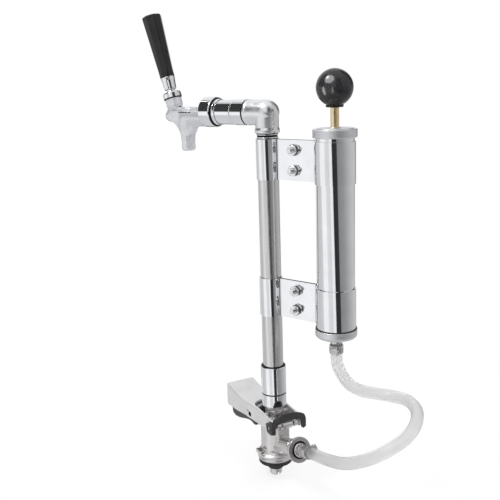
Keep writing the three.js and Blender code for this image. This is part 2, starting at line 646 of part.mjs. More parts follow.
function triggerGrip() {
  const half = LEVER_TIP_HALF_WIDE - HOOD_WALL - 0.5;
  const [px, pz] = TRIGGER_PIVOT;
  const grip = pulledAcross([
    ...ofLever([[-78, -15], [-76.5, -21.5], [-71, -23.4], [-62, -22.8], [-53, -20.6], [-44, -17.8],
      [-35, -15.6], [-28, -15.4], [-23, -16.6], [-18.5, -15.8], [-18, -11.5]]), [px + 9, -6],
    [px + 6.5, 3], [px - 5.5, 3.4], ...ofLever([[-45, -1.6], [-78, -7]]),
  ], half);
  const pinHole = alongY(rod(TRIGGER_PIN_R + SLIP, -CUT_REACH, CUT_REACH, 16), px, pz);
  const springPocket = alongY(rod(SPRING_R + 1.2, -SPRING_WIDE / 2 - 1, SPRING_WIDE / 2 + 1, 16), px, pz);
  const springMouth = block(px - 1.5, px + 1.5, -SPRING_WIDE / 2 - 1, SPRING_WIDE / 2 + 1, pz, 8);
  return cut(grip, pinHole, springPocket, springMouth);
}

class TorsionCoil extends THREE.Curve {
  getPoint(t, target = new THREE.Vector3()) {
    const a = t * SPRING_TURNS * 2 * Math.PI;
    return target.set(SPRING_R * Math.cos(a), (t - 0.5) * SPRING_WIDE, SPRING_R * Math.sin(a));
  }
}

function tubeAlong(curve, r, sides, steps, boreR = 0) {
  const section = new THREE.Shape(arc(0, 0, r, 0, 2 * Math.PI, sides).slice(0, -1)
    .map(([x, y]) => new THREE.Vector2(x, y)));
  if (boreR > 0) {
    section.holes.push(new THREE.Path(arc(0, 0, boreR, 0, -2 * Math.PI, sides).slice(0, -1)
      .map(([x, y]) => new THREE.Vector2(x, y))));
  }
  return shell(new THREE.ExtrudeGeometry(section, { steps, extrudePath: curve, bevelEnabled: false }));
}

function hingeClip() {
  const inner = LEVER_HALF_WIDE + GAP;
  const outer = inner + CLIP_THICK;
  const front = armEnd + GAP;
  const half = [
    [0, 14.8], [8, 13.9], [14, 12.2], [17.5, 10.8], [outer, 4.5], [outer, -4.5], [outer - 3, -7],
    [inner - 3, -5.5], [inner - 3, 0.5], [inner - 4.8, 3.4], [12, 4.6], [6, 5.8], [0, 6],
  ];
  const band = pulledForward(
    [...half, ...half.slice(1, -1).toReversed().map(([y, z]) => [-y, z])], front, front + CLIP_THICK);
  const cheeks = [1, -1].map((side) => {
    const cheek = pulledAcross([
      [front + CLIP_THICK, 4.2], [front + 1, 6.4], [front - 2, 8.4], [front - 11, 3.2],
      [front - 8.5, -5.2], [front - 5, -6.6], [front + CLIP_THICK - 0.8, -6.6],
      [front + CLIP_THICK, -4.2],
    ], CLIP_THICK / 2);
    return cheek.translate(0, side * (inner + CLIP_THICK / 2), 0);
  });
  const pinHole = alongY(rod(PIVOT_PIN_R + SLIP, -30, 30, COARSE), HINGE_REACH, 0);
  return cut(join(band, ...cheeks.map(shell)), pinHole);
}

// The least space between the coil's neighbouring turns.
function coilGap() {
  const count = SPRING_TURNS * 24;
  const points = new TorsionCoil().getPoints(count);
  let least = Infinity;
  for (let i = 0; i <= count; i += 1) {
    for (let j = i + 12; j <= count; j += 1) least = Math.min(least, points[i].distanceTo(points[j]));
  }
  return least - 2 * SPRING_WIRE_R;
}

function buildLever() {
  const lever = new THREE.Group();
  lever.position.z = pivotZ;
  coupler.add(lever);
  node('coupler_lever', leverCasting(), 'nickel', lever);
  node('lever_trigger', triggerGrip(), 'black', lever);
  const half = LEVER_TIP_HALF_WIDE + 0.4;
  node('trigger_pin', alongY(rod(TRIGGER_PIN_R, -half, half, 14), ...TRIGGER_PIVOT), 'steel', lever);
  const spring = tubeAlong(new TorsionCoil(), SPRING_WIRE_R, 5, SPRING_TURNS * 8);
  node('trigger_spring', spring, 'steel', lever).position.set(TRIGGER_PIVOT[0], 0, TRIGGER_PIVOT[1]);
  node('hinge_clip', hingeClip(), 'black', lever);
}

// ---------------------------------------------------------------- tower tube and elbow

function buildTube() {
  node('coupling_nut', turned([
    [PROBE_NECK_R + GAP, nutBase], [NUT_R - 0.5, nutBase], [NUT_R, nutBase + 0.6],
    [NUT_R, nutTop - 0.5], [NUT_R - 0.5, nutTop], [SOCKET_SPIGOT_R + GAP, nutTop],
    [SOCKET_SPIGOT_R + GAP, nutShoulder], [PROBE_NECK_R + GAP, nutShoulder],
  ]), 'chrome');
  node('nut_washer', ring(BEER_BORE_R, PROBE_NECK_R - 0.2, washerTop - WASHER_THICK, washerTop), 'washer');
  node('tube_socket', turned([
    [BEER_BORE_R, socketShoulder], [PROBE_NECK_R - 0.1, socketShoulder],
    [PROBE_NECK_R - 0.1, nutShoulder - GAP], [SOCKET_SPIGOT_R, nutShoulder - GAP],
    [SOCKET_SPIGOT_R, socketBase], [SOCKET_R - 0.4, socketBase], [SOCKET_R, socketBase + 0.5],
    [SOCKET_R, socketTop - 1], [SOCKET_R - 0.9, socketTop], [TUBE_R + GAP, socketTop],
    [TUBE_R + GAP, socketBase + SOCKET_FLOOR], [BEER_BORE_R, socketBase + SOCKET_FLOOR],
  ]), 'chrome');
  node('tower_tube', ring(TUBE_R - TUBE_WALL, TUBE_R, tubeBase, tubeTop), 'chrome');

  const collarLow = tubeTop + GAP;
  const collarHigh = collarLow + NIPPLE_COLLAR;
  const waist = NIPPLE_R - 0.5;
  node('elbow_nipple', turned([
    [NIPPLE_BORE_R, collarLow - NIPPLE_SPIGOT_LONG], [NIPPLE_SPIGOT_R, collarLow - NIPPLE_SPIGOT_LONG],
    [NIPPLE_SPIGOT_R, collarLow], [NIPPLE_R, collarLow], [NIPPLE_R, collarLow + 1.3],
    [waist, collarLow + 1.7], [waist, collarHigh - 1.7], [NIPPLE_R, collarHigh - 1.3],
    [NIPPLE_R, collarHigh], [NIPPLE_SPIGOT_R, collarHigh],
    [NIPPLE_SPIGOT_R, collarHigh + ELBOW_SOCKET_LONG - 1], [NIPPLE_BORE_R, collarHigh + ELBOW_SOCKET_LONG - 1],
  ]), 'chrome');
  node('elbow', elbowCasting(), 'chrome');
}

function elbowCasting() {
  const socketR = NIPPLE_SPIGOT_R + GAP;
  const leg = turned([
    [0, elbowBase], [ELBOW_BEAD_R, elbowBase], [ELBOW_BEAD_R, elbowBase + ELBOW_BEAD_HIGH],
    [ELBOW_LEG_R, elbowBase + ELBOW_BEAD_HIGH + 1], [ELBOW_LEG_R, shankZ], [0, shankZ],
  ]);
  const arm = alongX(turned([
    [0, -ELBOW_REACH], [ELBOW_ARM_R - 0.4, -ELBOW_REACH], [ELBOW_ARM_R, -ELBOW_REACH + 0.5],
    [ELBOW_ARM_R, -ELBOW_LEG_R], [ELBOW_LEG_R + 0.6, 0], [0, 0],
  ]), shankZ);
  const corner = ball(ELBOW_LEG_R + 0.6, 0, 0, shankZ, FINE);
  const socket = rod(socketR, elbowBase - 1, elbowBase + ELBOW_SOCKET_LONG);
  const riser = rod(NIPPLE_BORE_R, elbowBase, shankZ + 1);
  const armSocket = alongX(rod(socketR, -ELBOW_REACH - 1, -ELBOW_REACH + ELBOW_SOCKET_LONG), shankZ);
  const armBore = alongX(rod(NIPPLE_BORE_R, -ELBOW_REACH, NIPPLE_BORE_R - 2), shankZ);
  return cut(join(leg, arm, corner), socket, riser, armSocket, armBore);
}

function buildShank() {
  const spigotEnd = -ELBOW_REACH + ELBOW_SOCKET_LONG - 0.5;
  const collarBack = -ELBOW_REACH - GAP;
  const collar = turned([
    [NIPPLE_SPIGOT_R + GAP, collarBack], [COLLAR_R, collarBack], [COLLAR_R, collarBack - COLLAR_LONG + 0.4],
    [COLLAR_R - 0.4, collarBack - COLLAR_LONG], [NIPPLE_SPIGOT_R + GAP, collarBack - COLLAR_LONG],
  ]);
  node('shank_collar', alongX(collar), 'chrome', faucet);
  node('faucet_shank', alongX(turned([
    [SHANK_BORE_R, spigotEnd], [NIPPLE_SPIGOT_R, spigotEnd], [NIPPLE_SPIGOT_R, shankShoulder],
    [SHANK_R, shankShoulder], [SHANK_R, shankFlange], [SHANK_FLANGE_R, shankFlange],
    [SHANK_FLANGE_R, shankEnd], [SEAT_CHAMBER_R, shankEnd], [SEAT_CHAMBER_R, shankEnd + 10],
    [SHANK_BORE_R, shankEnd + 10],
  ])), 'chrome', faucet);
  const threadR = SHANK_FLANGE_R + THREAD_CLEAR;
  const edge = faucetNutBack - FAUCET_NUT_SHOULDER;
  node('faucet_coupling_nut', alongX(turned([
    [SHANK_R + GAP, faucetNutBack], [SHANK_R + 0.7, faucetNutBack], [SHANK_R + 0.9, edge + 3.3],
    [FAUCET_NUT_R - 0.2, edge + 0.3], [FAUCET_NUT_R, edge], [FAUCET_NUT_R, faucetNutFront + 1.2],
    [FAUCET_NUT_R - 1, faucetNutFront], [threadR, faucetNutFront], [threadR, shankFlange + GAP],
    [SHANK_R + GAP, shankFlange + GAP],
  ])), 'chrome', faucet);
  const washer = ring(SEAT_CHAMBER_R + 0.2, SHANK_FLANGE_R, faucetEnd + GAP, shankEnd - GAP);
  node('shank_washer', alongX(washer), 'washer', faucet);
}

// ---------------------------------------------------------------- faucet

// A point of the handle's own frame (across, along its axis) in the faucet's frame.
function fromHead(u, t) {
  return [
    faucetNutFront - BOSS_FROM_NUT + u * Math.cos(HANDLE_TILT) - t * Math.sin(HANDLE_TILT),
    BOSS_LIFT + u * Math.sin(HANDLE_TILT) + t * Math.cos(HANDLE_TILT),
  ];
}

function faucetCasting() {
  const [bx, bz] = fromHead(0, 0);
  const headAxis = [-Math.sin(HANDLE_TILT), 0, Math.cos(HANDLE_TILT)];
  const onHead = (geometry) => aimed(geometry, [bx, 0, bz], headAxis);
  const thread = alongX(turned([
    [0, faucetEnd], [SHANK_FLANGE_R, faucetEnd], [SHANK_FLANGE_R, faucetEnd - BODY_THREAD_LONG],
    [BULK_R + 1, faucetNutFront], [BULK_R - 1, faucetNutFront - 2], [0, faucetNutFront - 2],
  ]));
  const barrel = alongX(rod(BARREL_R, noseX, faucetNutFront + 1, FINE));
  const bulk = alongX(rod(BULK_R, spoutX, faucetNutFront, FINE), -BULK_DROP);
  const nose = ball(NOSE_R, noseX, 0, -NOSE_DROP, 20);
  const spoutLow = -SPOUT_LONG;
  const spout = turned([
    [0, spoutLow], [SPOUT_LOW_R - 1, spoutLow], [SPOUT_LOW_R, spoutLow + 1.4],
    [SPOUT_LOW_R - 0.3, spoutLow + 8], [SPOUT_LOW_R + 0.3, spoutLow + 17],
    [SPOUT_TOP_R, spoutLow + 28], [SPOUT_TOP_R, -BULK_DROP], [SPOUT_TOP_R - 4, 2], [0, 2],
  ], FINE).translate(spoutX, 0, 0);
  const web = pulledAcross([
    [noseX - 2, -2], [noseX + 1, -NOSE_DROP - NOSE_R + 0.8], [noseX + 8, -NOSE_DROP - NOSE_R - 1],
    [noseX + 12.5, -17], [spoutX - SPOUT_LOW_R + 0.6, -24], [spoutX, -30],
    [spoutX + SPOUT_LOW_R, -24], [spoutX + SPOUT_LOW_R + 5, -16], [faucetNutFront - 1, -14],
    [faucetNutFront - 1, 2], [noseX + 2, 2],
  ], WEB_HALF);
  const cap = turned([[0, -4], [BARREL_R + 3, -4], [BARREL_R + 3, 3.6], [BARREL_R + 1.6, 4.9], [0, 4.9]], 20)
    .scale(1, 0.72, 1).translate(spoutX + 1, 0, 0);
  const boss = onHead(turned([
    [0, -3], [FAUCET_BOSS_R - 2, -3], [FAUCET_BOSS_R, 0], [FAUCET_BOSS_R, FAUCET_BOSS_HIGH],
    [FAUCET_BOSS_R - 0.9, FAUCET_BOSS_HIGH], [FAUCET_BOSS_R - 0.9, FAUCET_BOSS_HIGH + FAUCET_COLLAR_HIGH],
    [0, FAUCET_BOSS_HIGH + FAUCET_COLLAR_HIGH],
  ], FINE));
  const outer = join(thread, barrel, bulk, nose, shell(spout), web, shell(cap), boss);

  const shaftBore = alongX(rod(VALVE_SHAFT_R + GAP, noseX - 3.9, faucetNutFront, COARSE));
  const seatBore = alongX(rod(SEAT_BORE_R, faucetNutFront - 0.5, seatX + 1, FINE));
  const chamber = alongX(rod(SEAT_CHAMBER_R, seatX, faucetEnd + 1, FINE));
  const beerWay = alongX(rod(6, spoutX, faucetNutFront + 0.6, FINE), -3);
  const spoutBore = rod(SPOUT_BORE_R, spoutLow - 1, -3, 24).translate(spoutX, 0, 0);
  const ballBore = onHead(rod(BALL_R + GAP, BALL_LIFT - BALL_R - 0.3, 30, FINE));
  // the way that the lever's leg sweeps through
  const tipT = BALL_LIFT - legLong;
  const legSlot = pulledAcross([
    fromHead(-2, BALL_LIFT - BALL_R), fromHead(-2, tipT - LEG_TIP_R - 0.5),
    fromHead(2.4, tipT - LEG_TIP_R - 0.5), fromHead(9.4, tipT), fromHead(9.3, tipT + 2.8),
    fromHead(4.6, BALL_LIFT - BALL_R),
  ], LEG_TIP_R + GAP);
  return cut(outer, shaftBore, seatBore, chamber, beerWay, shell(spoutBore), ballBore, legSlot);
}

function valveShaft() {
  const rear = seatX + GAP + SEAT_WASHER_THICK + GAP;
  const shaft = alongX(turned([
    [0, noseX - 3.3], [VALVE_SHAFT_R - 0.5, noseX - 3.3], [VALVE_SHAFT_R, noseX - 2.8],
    [VALVE_SHAFT_R, seatX], [2.4, seatX], [2.4, rear], [4.5, rear], [4.5, rear + 2.2], [0, rear + 2.2],
  ], COARSE));
  const [tipX, tipZ] = fromHead(0, BALL_LIFT - legLong);
  const pocket = block(tipX - 3.9, tipX + LEG_TIP_R + 0.6, -LEG_TIP_R - 0.3, LEG_TIP_R + 0.3,
    tipZ - LEG_TIP_R - 0.4, VALVE_SHAFT_R + 1);
  return cut(shaft, pocket);
}

function faucetLever() {
  const tipT = BALL_LIFT - legLong;
  const tip = arc(0, tipT, LEG_TIP_R, -Math.PI / 2, Math.PI / 4, 4);
  const neckAngle = Math.acos(LEG_R / BALL_R);
  const headAngle = Math.acos(NECK_FOOT_R / BALL_R);
  const globe = arc(0, BALL_LIFT, BALL_R, -neckAngle, headAngle, 10);
  return turned([
    [0, tip[0][1]], ...tip.slice(1), [LEG_R, tipT + LEG_TIP_R], ...globe,
    [NECK_TOP_R, FERRULE_FOOT - 0.6], [NECK_TOP_R, FERRULE_FOOT - SLIP], [STEM_R, FERRULE_FOOT - SLIP],
    [STEM_R, STEM_TOP], [0, STEM_TOP],
  ], COARSE);
}

function buildFaucet() {
  node('faucet_body', faucetCasting(), 'chrome', faucet);
  node('faucet_shaft', valveShaft(), 'steel', faucet);
  const seatWasher = ring(2.4 + SLIP, SEAT_WASHER_R, seatX + GAP, seatX + GAP + SEAT_WASHER_THICK, FINE);
  node('shaft_washer', alongX(seatWasher), 'rubber', faucet);

  node('faucet_lever', faucetLever(), 'chrome', faucetHead);
  node('lever_friction_ring', ring(BALL_R - 1.8, BALL_R, BALL_LIFT - BALL_R, BALL_LIFT - BALL_R + 1.1, FINE),
    'nylon', faucetHead);
  const threadR = FAUCET_BOSS_R - 0.9 + GAP;
  const threadTop = FAUCET_BOSS_HIGH + FAUCET_COLLAR_HIGH + GAP;
  node('faucet_bonnet', turned([
    [threadR, FAUCET_BOSS_HIGH + GAP], [BONNET_R - 0.4, FAUCET_BOSS_HIGH + GAP],
    [BONNET_R, FAUCET_BOSS_HIGH + GAP + 0.4], [BONNET_R, BONNET_TOP - 1.9],
    [BONNET_R - 0.5, BONNET_TOP - 0.9], [BALL_R + 2.4, BONNET_TOP], [BALL_R + 2, BONNET_TOP - 0.2],
    [BALL_R - 0.4, threadTop + 0.8], [BALL_R - 0.1, threadTop], [threadR, threadTop],
  ], FINE), 'chrome', faucetHead);
  const stemHole = STEM_R + GAP;
  const ferruleTop = FERRULE_FOOT + FERRULE_HIGH;
  node('handle_ferrule', turned([
    [stemHole, FERRULE_FOOT], [FERRULE_LOW_R - 0.4, FERRULE_FOOT], [FERRULE_LOW_R, FERRULE_FOOT + 0.4],
    [HANDLE_LOW_R, ferruleTop - 0.4], [HANDLE_LOW_R, ferruleTop], [stemHole, ferruleTop],
  ], FINE), 'chrome', faucetHead);
  const handleLow = ferruleTop + GAP;
  const handleTop = handleLow + HANDLE_LONG;
  node('tap_handle', turned([
    [stemHole, handleLow], [HANDLE_LOW_R - 0.4, handleLow], [HANDLE_LOW_R, handleLow + 0.5],
    [HANDLE_TOP_R, handleTop - 2], [HANDLE_TOP_R - 1.2, handleTop - 0.4],
    [HANDLE_TOP_R - 4, handleTop], [0, handleTop], [0, STEM_TOP + 1], [stemHole, STEM_TOP + 1],
  ], FINE), 'black', faucetHead);
}

// ---------------------------------------------------------------- pump

function buildPump() {
  const lap = BARREL_OUTER_R + GAP;
  node('pump_barrel', ring(barrelInner, BARREL_OUTER_R, barrelBase, barrelTop, WIDE), 'chrome', pump);

  const round = arc(BASE_CAP_R - BASE_CAP_ROUND, PUMP_BASE + BASE_CAP_ROUND, BASE_CAP_ROUND, -Math.PI / 2, 0, 4);
  node('pump_bottom_cap', turned([
    [OUTLET_SPIGOT_R + GAP, PUMP_BASE - OUTLET_BOSS_LONG], [OUTLET_BOSS_R, PUMP_BASE - OUTLET_BOSS_LONG],
    [OUTLET_BOSS_R, PUMP_BASE], ...round, [BASE_CAP_R, capRim], [lap, capRim], [lap, capFloor],
    [OUTLET_SPIGOT_R + GAP, capFloor],
  ], WIDE), 'satin', pump);
  const gasket = ring(lap, BASE_CAP_R - 0.3, capRim + SLIP, capRim + SLIP + JOINT_RING_HIGH, WIDE);
  node('bottom_gasket', gasket, 'rubber', pump);
  node('pump_check_valve', turned([
    [0, PUMP_BASE], [1.6, PUMP_BASE], [1.6, capFloor + GAP], [7, capFloor + GAP],
    [7, capFloor + GAP + 1], [0, capFloor + GAP + 1.6],
  ], COARSE), 'rubber', pump);

  const guideLow = barrelTop - ROD_GUIDE_LONG + 4;
  const guideR = ROD_R + GAP;
  const capInside = barrelTop + GAP;
  node('pump_top_cap', turned([
    [lap, topCapBase], [TOP_CAP_R, topCapBase], [TOP_CAP_R, topCapTop - 1.2],
    [TOP_CAP_R - 0.5, topCapTop - 0.8], [TOP_CAP_R - TOP_CAP_STEP, topCapTop - 0.8],
    [TOP_CAP_R - TOP_CAP_STEP - 0.3, topCapTop], [ROD_R + 2, topCapTop],
    [ROD_R + 1.6, topCapTop + 0.6], [guideR, topCapTop + 0.6], [guideR, guideLow],
    [ROD_GUIDE_R, guideLow], [ROD_GUIDE_R, capInside], [lap, capInside],
  ], WIDE), 'satin', pump);

  const pistonR = barrelInner - CUP_PLAY - CUP_WALL - SLIP;
  const cupR = barrelInner - CUP_PLAY;
  const endHole = ROD_END_R + SLIP;
  node('piston_cup', turned([
    [endHole, cupBase], [cupR, cupBase], [cupR, cupBase + CUP_THICK + CUP_LIP],
    [cupR - CUP_WALL, cupBase + CUP_THICK + CUP_LIP], [cupR - CUP_WALL, cupBase + CUP_THICK],
    [endHole, cupBase + CUP_THICK],
  ], WIDE), 'rubber', pump);
  const pistonLow = cupBase + CUP_THICK + SLIP;
  const hubTop = pistonLow + PISTON_HIGH + PISTON_HUB_HIGH;
  node('piston', turned([
    [endHole, pistonLow], [pistonR, pistonLow], [pistonR, pistonLow + PISTON_HIGH],
    [PISTON_HUB_R, pistonLow + PISTON_HIGH + 1], [PISTON_HUB_R, hubTop], [endHole, hubTop],
  ], WIDE), 'nylon', pump);
  const shoulder = hubTop + SLIP;
  const studTop = knobFlat + KNOB_SOCKET_DEEP;
  node('pump_rod', turned([
    [0, cupBase - SLIP - ROD_HEAD_HIGH], [ROD_HEAD_R, cupBase - SLIP - ROD_HEAD_HIGH],
    [ROD_HEAD_R, cupBase - SLIP], [ROD_END_R, cupBase - SLIP], [ROD_END_R, shoulder],
    [ROD_R, shoulder], [ROD_R, knobCollarBase - GAP], [ROD_END_R, knobCollarBase - GAP],
    [ROD_END_R, studTop], [0, studTop],
  ], FINE), 'brass', pump);
  node('knob_collar', turned([
    [endHole, knobCollarBase], [KNOB_COLLAR_R - 0.6, knobCollarBase], [KNOB_COLLAR_R, knobCollarBase + 0.6],
    [KNOB_COLLAR_R, knobCollarBase + KNOB_COLLAR_HIGH], [endHole, knobCollarBase + KNOB_COLLAR_HIGH],
  ], FINE), 'black', pump);
  const flatAngle = Math.asin((knobFlat - knobZ) / KNOB_R);
  node('ball_knob', turned([
    [endHole, knobFlat], ...arc(0, knobZ, KNOB_R, flatAngle, Math.PI / 2, 10).slice(0, -1),
    [0, knobZ + KNOB_R], [0, studTop + GAP], [endHole, studTop + GAP],
  ], FINE), 'black', pump);

  // The outlet's barb points down: it is made pointing up and turned over.
  const spigotTop = -OUTLET_SPIGOT_LONG;
  const outlet = barb(OUTLET_FLANGE, [
    [BARB_BORE_R, spigotTop], [OUTLET_SPIGOT_R, spigotTop], [OUTLET_SPIGOT_R, 0],
    [BARB_COLLAR_R, 0], [BARB_COLLAR_R, OUTLET_FLANGE],
  ]);
  const outletMesh = node('outlet_barb', outlet, 'nickel', pump);
  outletMesh.rotation.x = Math.PI;
  outletMesh.position.z = outletFace;
  const topClamp = node('hose_clamp_upper', hoseClamp(), 'steel', pump);
  topClamp.position.z = hoseTop - CLAMP_FROM_COLLAR + 1 - CLAMP_RING_WIDE / 2;
  topClamp.rotation.z = THREE.MathUtils.degToRad(-70);
}

// ---------------------------------------------------------------- brackets

// One half of a bracket pair: a sheet bent round the back of the tube and of the pump.
function bracketHalf(side) {
  const web = SLIP;
  const tubeIn = TUBE_R + GAP;
  const pumpIn = BARREL_OUTER_R + 0.2;
  const angle = (r, y) => Math.asin(y / r);
  const wrap = (cx, r, fromY, toY, steps) =>
    arc(cx, 0, r, Math.PI - angle(r, fromY), angle(r, toY), steps);
  const outer = [
    ...wrap(0, tubeIn + SHEET, web, web + SHEET, 12),
    ...wrap(PUMP_OFFSET, pumpIn + SHEET, web + SHEET, web, 15),
  ];
  const inner = [
    ...wrap(0, tubeIn, web, web, 12),
    ...wrap(PUMP_OFFSET, pumpIn, web, web, 15),
  ];
  const sheet = pulledUp([...outer, ...inner.reverse()], 0, BRACKET_HIGH);
  const holes = [-1, 1].map((end) =>
    alongY(rod(BOLT_R + GAP, -5, 5, 16), BOLT_X, BRACKET_HIGH / 2 + (end * BOLT_PITCH) / 2));
  return shell(cut(sheet, ...holes).scale(1, side, 1));
}

function hexagon(flats, low, high, holeR) {
  const corners = arc(0, 0, flats / Math.sqrt(3), Math.PI / 6, Math.PI / 6 + 2 * Math.PI, 6).slice(0, -1);
  const prism = pulledUp(corners, low, high);
  return holeR > 0 ? cut(prism, rod(holeR, low - 1, high + 1, 12)) : prism;
}

function buildBrackets() {
  const face = SLIP + SHEET;
  const bolt = join(
    rod(BOLT_R, -face - NUT_THICK - THREAD_PROUD, face + 1, 12),
    hexagon(BOLT_HEAD_FLATS, face, face + BOLT_HEAD_HIGH, 0),
  );
  const nut = hexagon(BOLT_HEAD_FLATS, -face - NUT_THICK, -face, BOLT_R + SLIP);
  const places = { lower: lowBracketZ, upper: highBracketZ };
  for (const [level, z] of Object.entries(places)) {
    const pair = new THREE.Group();
    pair.position.z = z;
    tower.add(pair);
    node(`${level}_bracket_back`, bracketHalf(1), 'chrome', pair);
    node(`${level}_bracket_front`, bracketHalf(-1), 'chrome', pair);
    [1, 2].forEach((count) => {
      const height = BRACKET_HIGH / 2 + (count * 2 - 3) * (BOLT_PITCH / 2);
      node(`${level}_bolt_${count}`, alongY(bolt, BOLT_X, height), 'steel', pair);
      node(`${level}_nut_${count}`, alongY(nut, BOLT_X, height), 'steel', pair);
    });
  }
}

// ---------------------------------------------------------------- hose

function buildHose() {
  const foot = new THREE.Vector3(...inletAxis).multiplyScalar(hoseFoot);
  foot.z += INLET_RISE;
  foot.applyAxisAngle(new THREE.Vector3(0, 0, 1), INLET_HEADING);
  const route = HOSE_ROUTE.map(([x, y, z]) => new THREE.Vector3(x, y, z));
  const head = new THREE.Vector3(PUMP_OFFSET, 0, hoseTop);
  const curve = new THREE.CatmullRomCurve3([foot, ...route, head]);
  node('air_hose', tubeAlong(curve, HOSE_R, 8, HOSE_STEPS, HOSE_BORE_R), 'hose');
}

buildCoupler();
buildLever();
buildTube();
buildShank();
buildFaucet();
buildPump();
buildBrackets();
buildHose();
console.log(`least gap between the spring's turns: ${coilGap().toFixed(2)} mm`);

export default tower;
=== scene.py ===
"""A hand-pumped beer tap tower in a plain pale studio.

Sizes in the piece builders are millimetres in the part's own frame: +Z up along the tower
tube, the faucet at -X, the pump at +X, the origin level with the keg seal's flat face.
"""

import math

import bpy
import numpy as np
from mathutils import Matrix, Vector


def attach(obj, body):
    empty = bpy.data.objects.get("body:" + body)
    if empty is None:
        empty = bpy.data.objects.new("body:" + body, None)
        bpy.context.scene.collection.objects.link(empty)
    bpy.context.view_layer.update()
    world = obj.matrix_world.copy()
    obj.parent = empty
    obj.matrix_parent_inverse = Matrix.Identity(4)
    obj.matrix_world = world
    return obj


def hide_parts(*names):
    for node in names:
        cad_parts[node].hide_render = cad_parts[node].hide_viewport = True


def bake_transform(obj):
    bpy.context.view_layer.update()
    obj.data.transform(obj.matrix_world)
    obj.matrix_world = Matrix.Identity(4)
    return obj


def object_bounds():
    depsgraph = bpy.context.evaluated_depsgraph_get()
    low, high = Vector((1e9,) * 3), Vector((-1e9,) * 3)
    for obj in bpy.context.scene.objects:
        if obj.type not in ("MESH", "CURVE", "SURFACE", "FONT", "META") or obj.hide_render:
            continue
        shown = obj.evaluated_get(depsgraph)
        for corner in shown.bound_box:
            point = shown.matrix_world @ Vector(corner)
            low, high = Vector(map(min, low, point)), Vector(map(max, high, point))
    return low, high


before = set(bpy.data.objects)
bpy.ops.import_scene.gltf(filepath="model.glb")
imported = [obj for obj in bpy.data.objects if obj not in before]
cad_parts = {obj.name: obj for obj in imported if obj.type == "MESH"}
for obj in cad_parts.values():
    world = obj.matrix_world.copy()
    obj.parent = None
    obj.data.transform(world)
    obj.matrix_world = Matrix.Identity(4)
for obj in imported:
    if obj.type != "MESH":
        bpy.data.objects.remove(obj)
cad_bounds = [list(corner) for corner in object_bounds()]
scene = bpy.context.scene

MM = 0.001

# ------------------------------------------------------------------ camera

EYE = Vector((489.915, -650.095, 430.1)) * MM
LOOK = Vector((-0.60706, 0.76270, -0.22308)).normalized()
ROLL = math.radians(-1.83)
FOCAL_PIXELS = 785.9
FRAME_PIXELS = 500
SENSOR = 36.0
NEAREST = 0.01


def make_camera():
    right = LOOK.cross(Vector((0, 0, 1))).normalized()
    up = right.cross(LOOK)
    turned_right = right * math.cos(ROLL) + up * math.sin(ROLL)
    turned_up = up * math.cos(ROLL) - right * math.sin(ROLL)
    data = bpy.data.cameras.new("camera")
    data.sensor_width = SENSOR
    data.lens = SENSOR * FOCAL_PIXELS / FRAME_PIXELS
    data.clip_start = NEAREST
    camera = bpy.data.objects.new("camera", data)
    scene.collection.objects.link(camera)
    axes = Matrix((turned_right, turned_up, -LOOK)).transposed().to_4x4()
    camera.matrix_world = Matrix.Translation(EYE) @ axes
    scene.camera = camera


make_camera()

# ------------------------------------------------------------------ local frames


def shift(x, y=0, z=0):
    return Matrix.Translation((x, y, z))


def spin(degrees, axis="Z"):
    return Matrix.Rotation(math.radians(degrees), 4, axis)


WORLD = Matrix.Identity(4)
ALONG_X = spin(90, "Y")
ALONG_Y = spin(-90, "X")
COUPLER = spin(-24)
INLET_TILT = Matrix.Rotation(math.pi / 2 - math.radians(16), 4, "Y")
INLET = COUPLER @ shift(0, 0, 19.7) @ INLET_TILT
PIVOT_X, PIVOT_Z = 25.0, 53.7
LEVER = COUPLER @ shift(0, 0, PIVOT_Z)
SHANK_Z = 387.4
FAUCET = shift(0, 0, SHANK_Z)
HEAD = FAUCET @ shift(-127.9, 0, 5.7) @ spin(-16.5, "Y")
PUMP_X = 81.6
PUMP = shift(PUMP_X)

# ------------------------------------------------------------------ materials

NOISE_ROUGHNESS = 0.55
EDGE_EASE = 0.08 * MM
SCALARS = ("DOT_PRODUCT", "DISTANCE", "LENGTH")


class Nodes:
    """Short names for making and joining the nodes of one tree."""

    def __init__(self, tree):
        self.tree = tree

    def node(self, kind, sockets=None, **settings):
        made = self.tree.nodes.new("ShaderNode" + kind)
        for key, value in settings.items():
            setattr(made, key, value)
        for key, value in (sockets or {}).items():
            self.feed(made.inputs[key], value)
        return made

    def feed(self, target, value):
        """Links a socket into the target, or sets the target to a plain value."""
        if isinstance(value, bpy.types.NodeSocket):
            self.tree.links.new(value, target)
        elif value is not None:
            target.default_value = value

    def maths(self, operation, a, b=None):
        return self.node("Math", {0: a, 1: b}, operation=operation).outputs[0]

    def vector(self, operation, a, b=None):
        made = self.node("VectorMath", {0: a, 1: b}, operation=operation)
        return made.outputs["Value" if operation in SCALARS else "Vector"]

    def spread(self, source, low, high, start=0.3, end=0.7):
        sockets = {
            "Value": source, "From Min": start, "From Max": end, "To Min": low, "To Max": high
        }
        return self.node("MapRange", sockets, clamp=True).outputs["Result"]

    def mixed(self, kind, factor, a, b):
        made = self.node("Mix", data_type=kind)
        values = {"Factor": factor, "A": a, "B": b}
        for target in made.inputs:
            if target.enabled:
                self.feed(target, values.get(target.name))
        return next(o for o in made.outputs if o.enabled)

    def chosen(self, factor, a, b):
        return self.node("MixShader", {0: factor, 1: a, 2: b}).outputs[0]

    def ramp(self, source, stops):
        made = self.node("ValToRGB", {"Fac": source})
        elements = made.color_ramp.elements
        while len(elements) < len(stops):
            elements.new(0.5)
        for element, (place, colour) in zip(elements, stops):
            element.position = place
            element.color = (*colour, 1)
        return made.outputs["Color"]


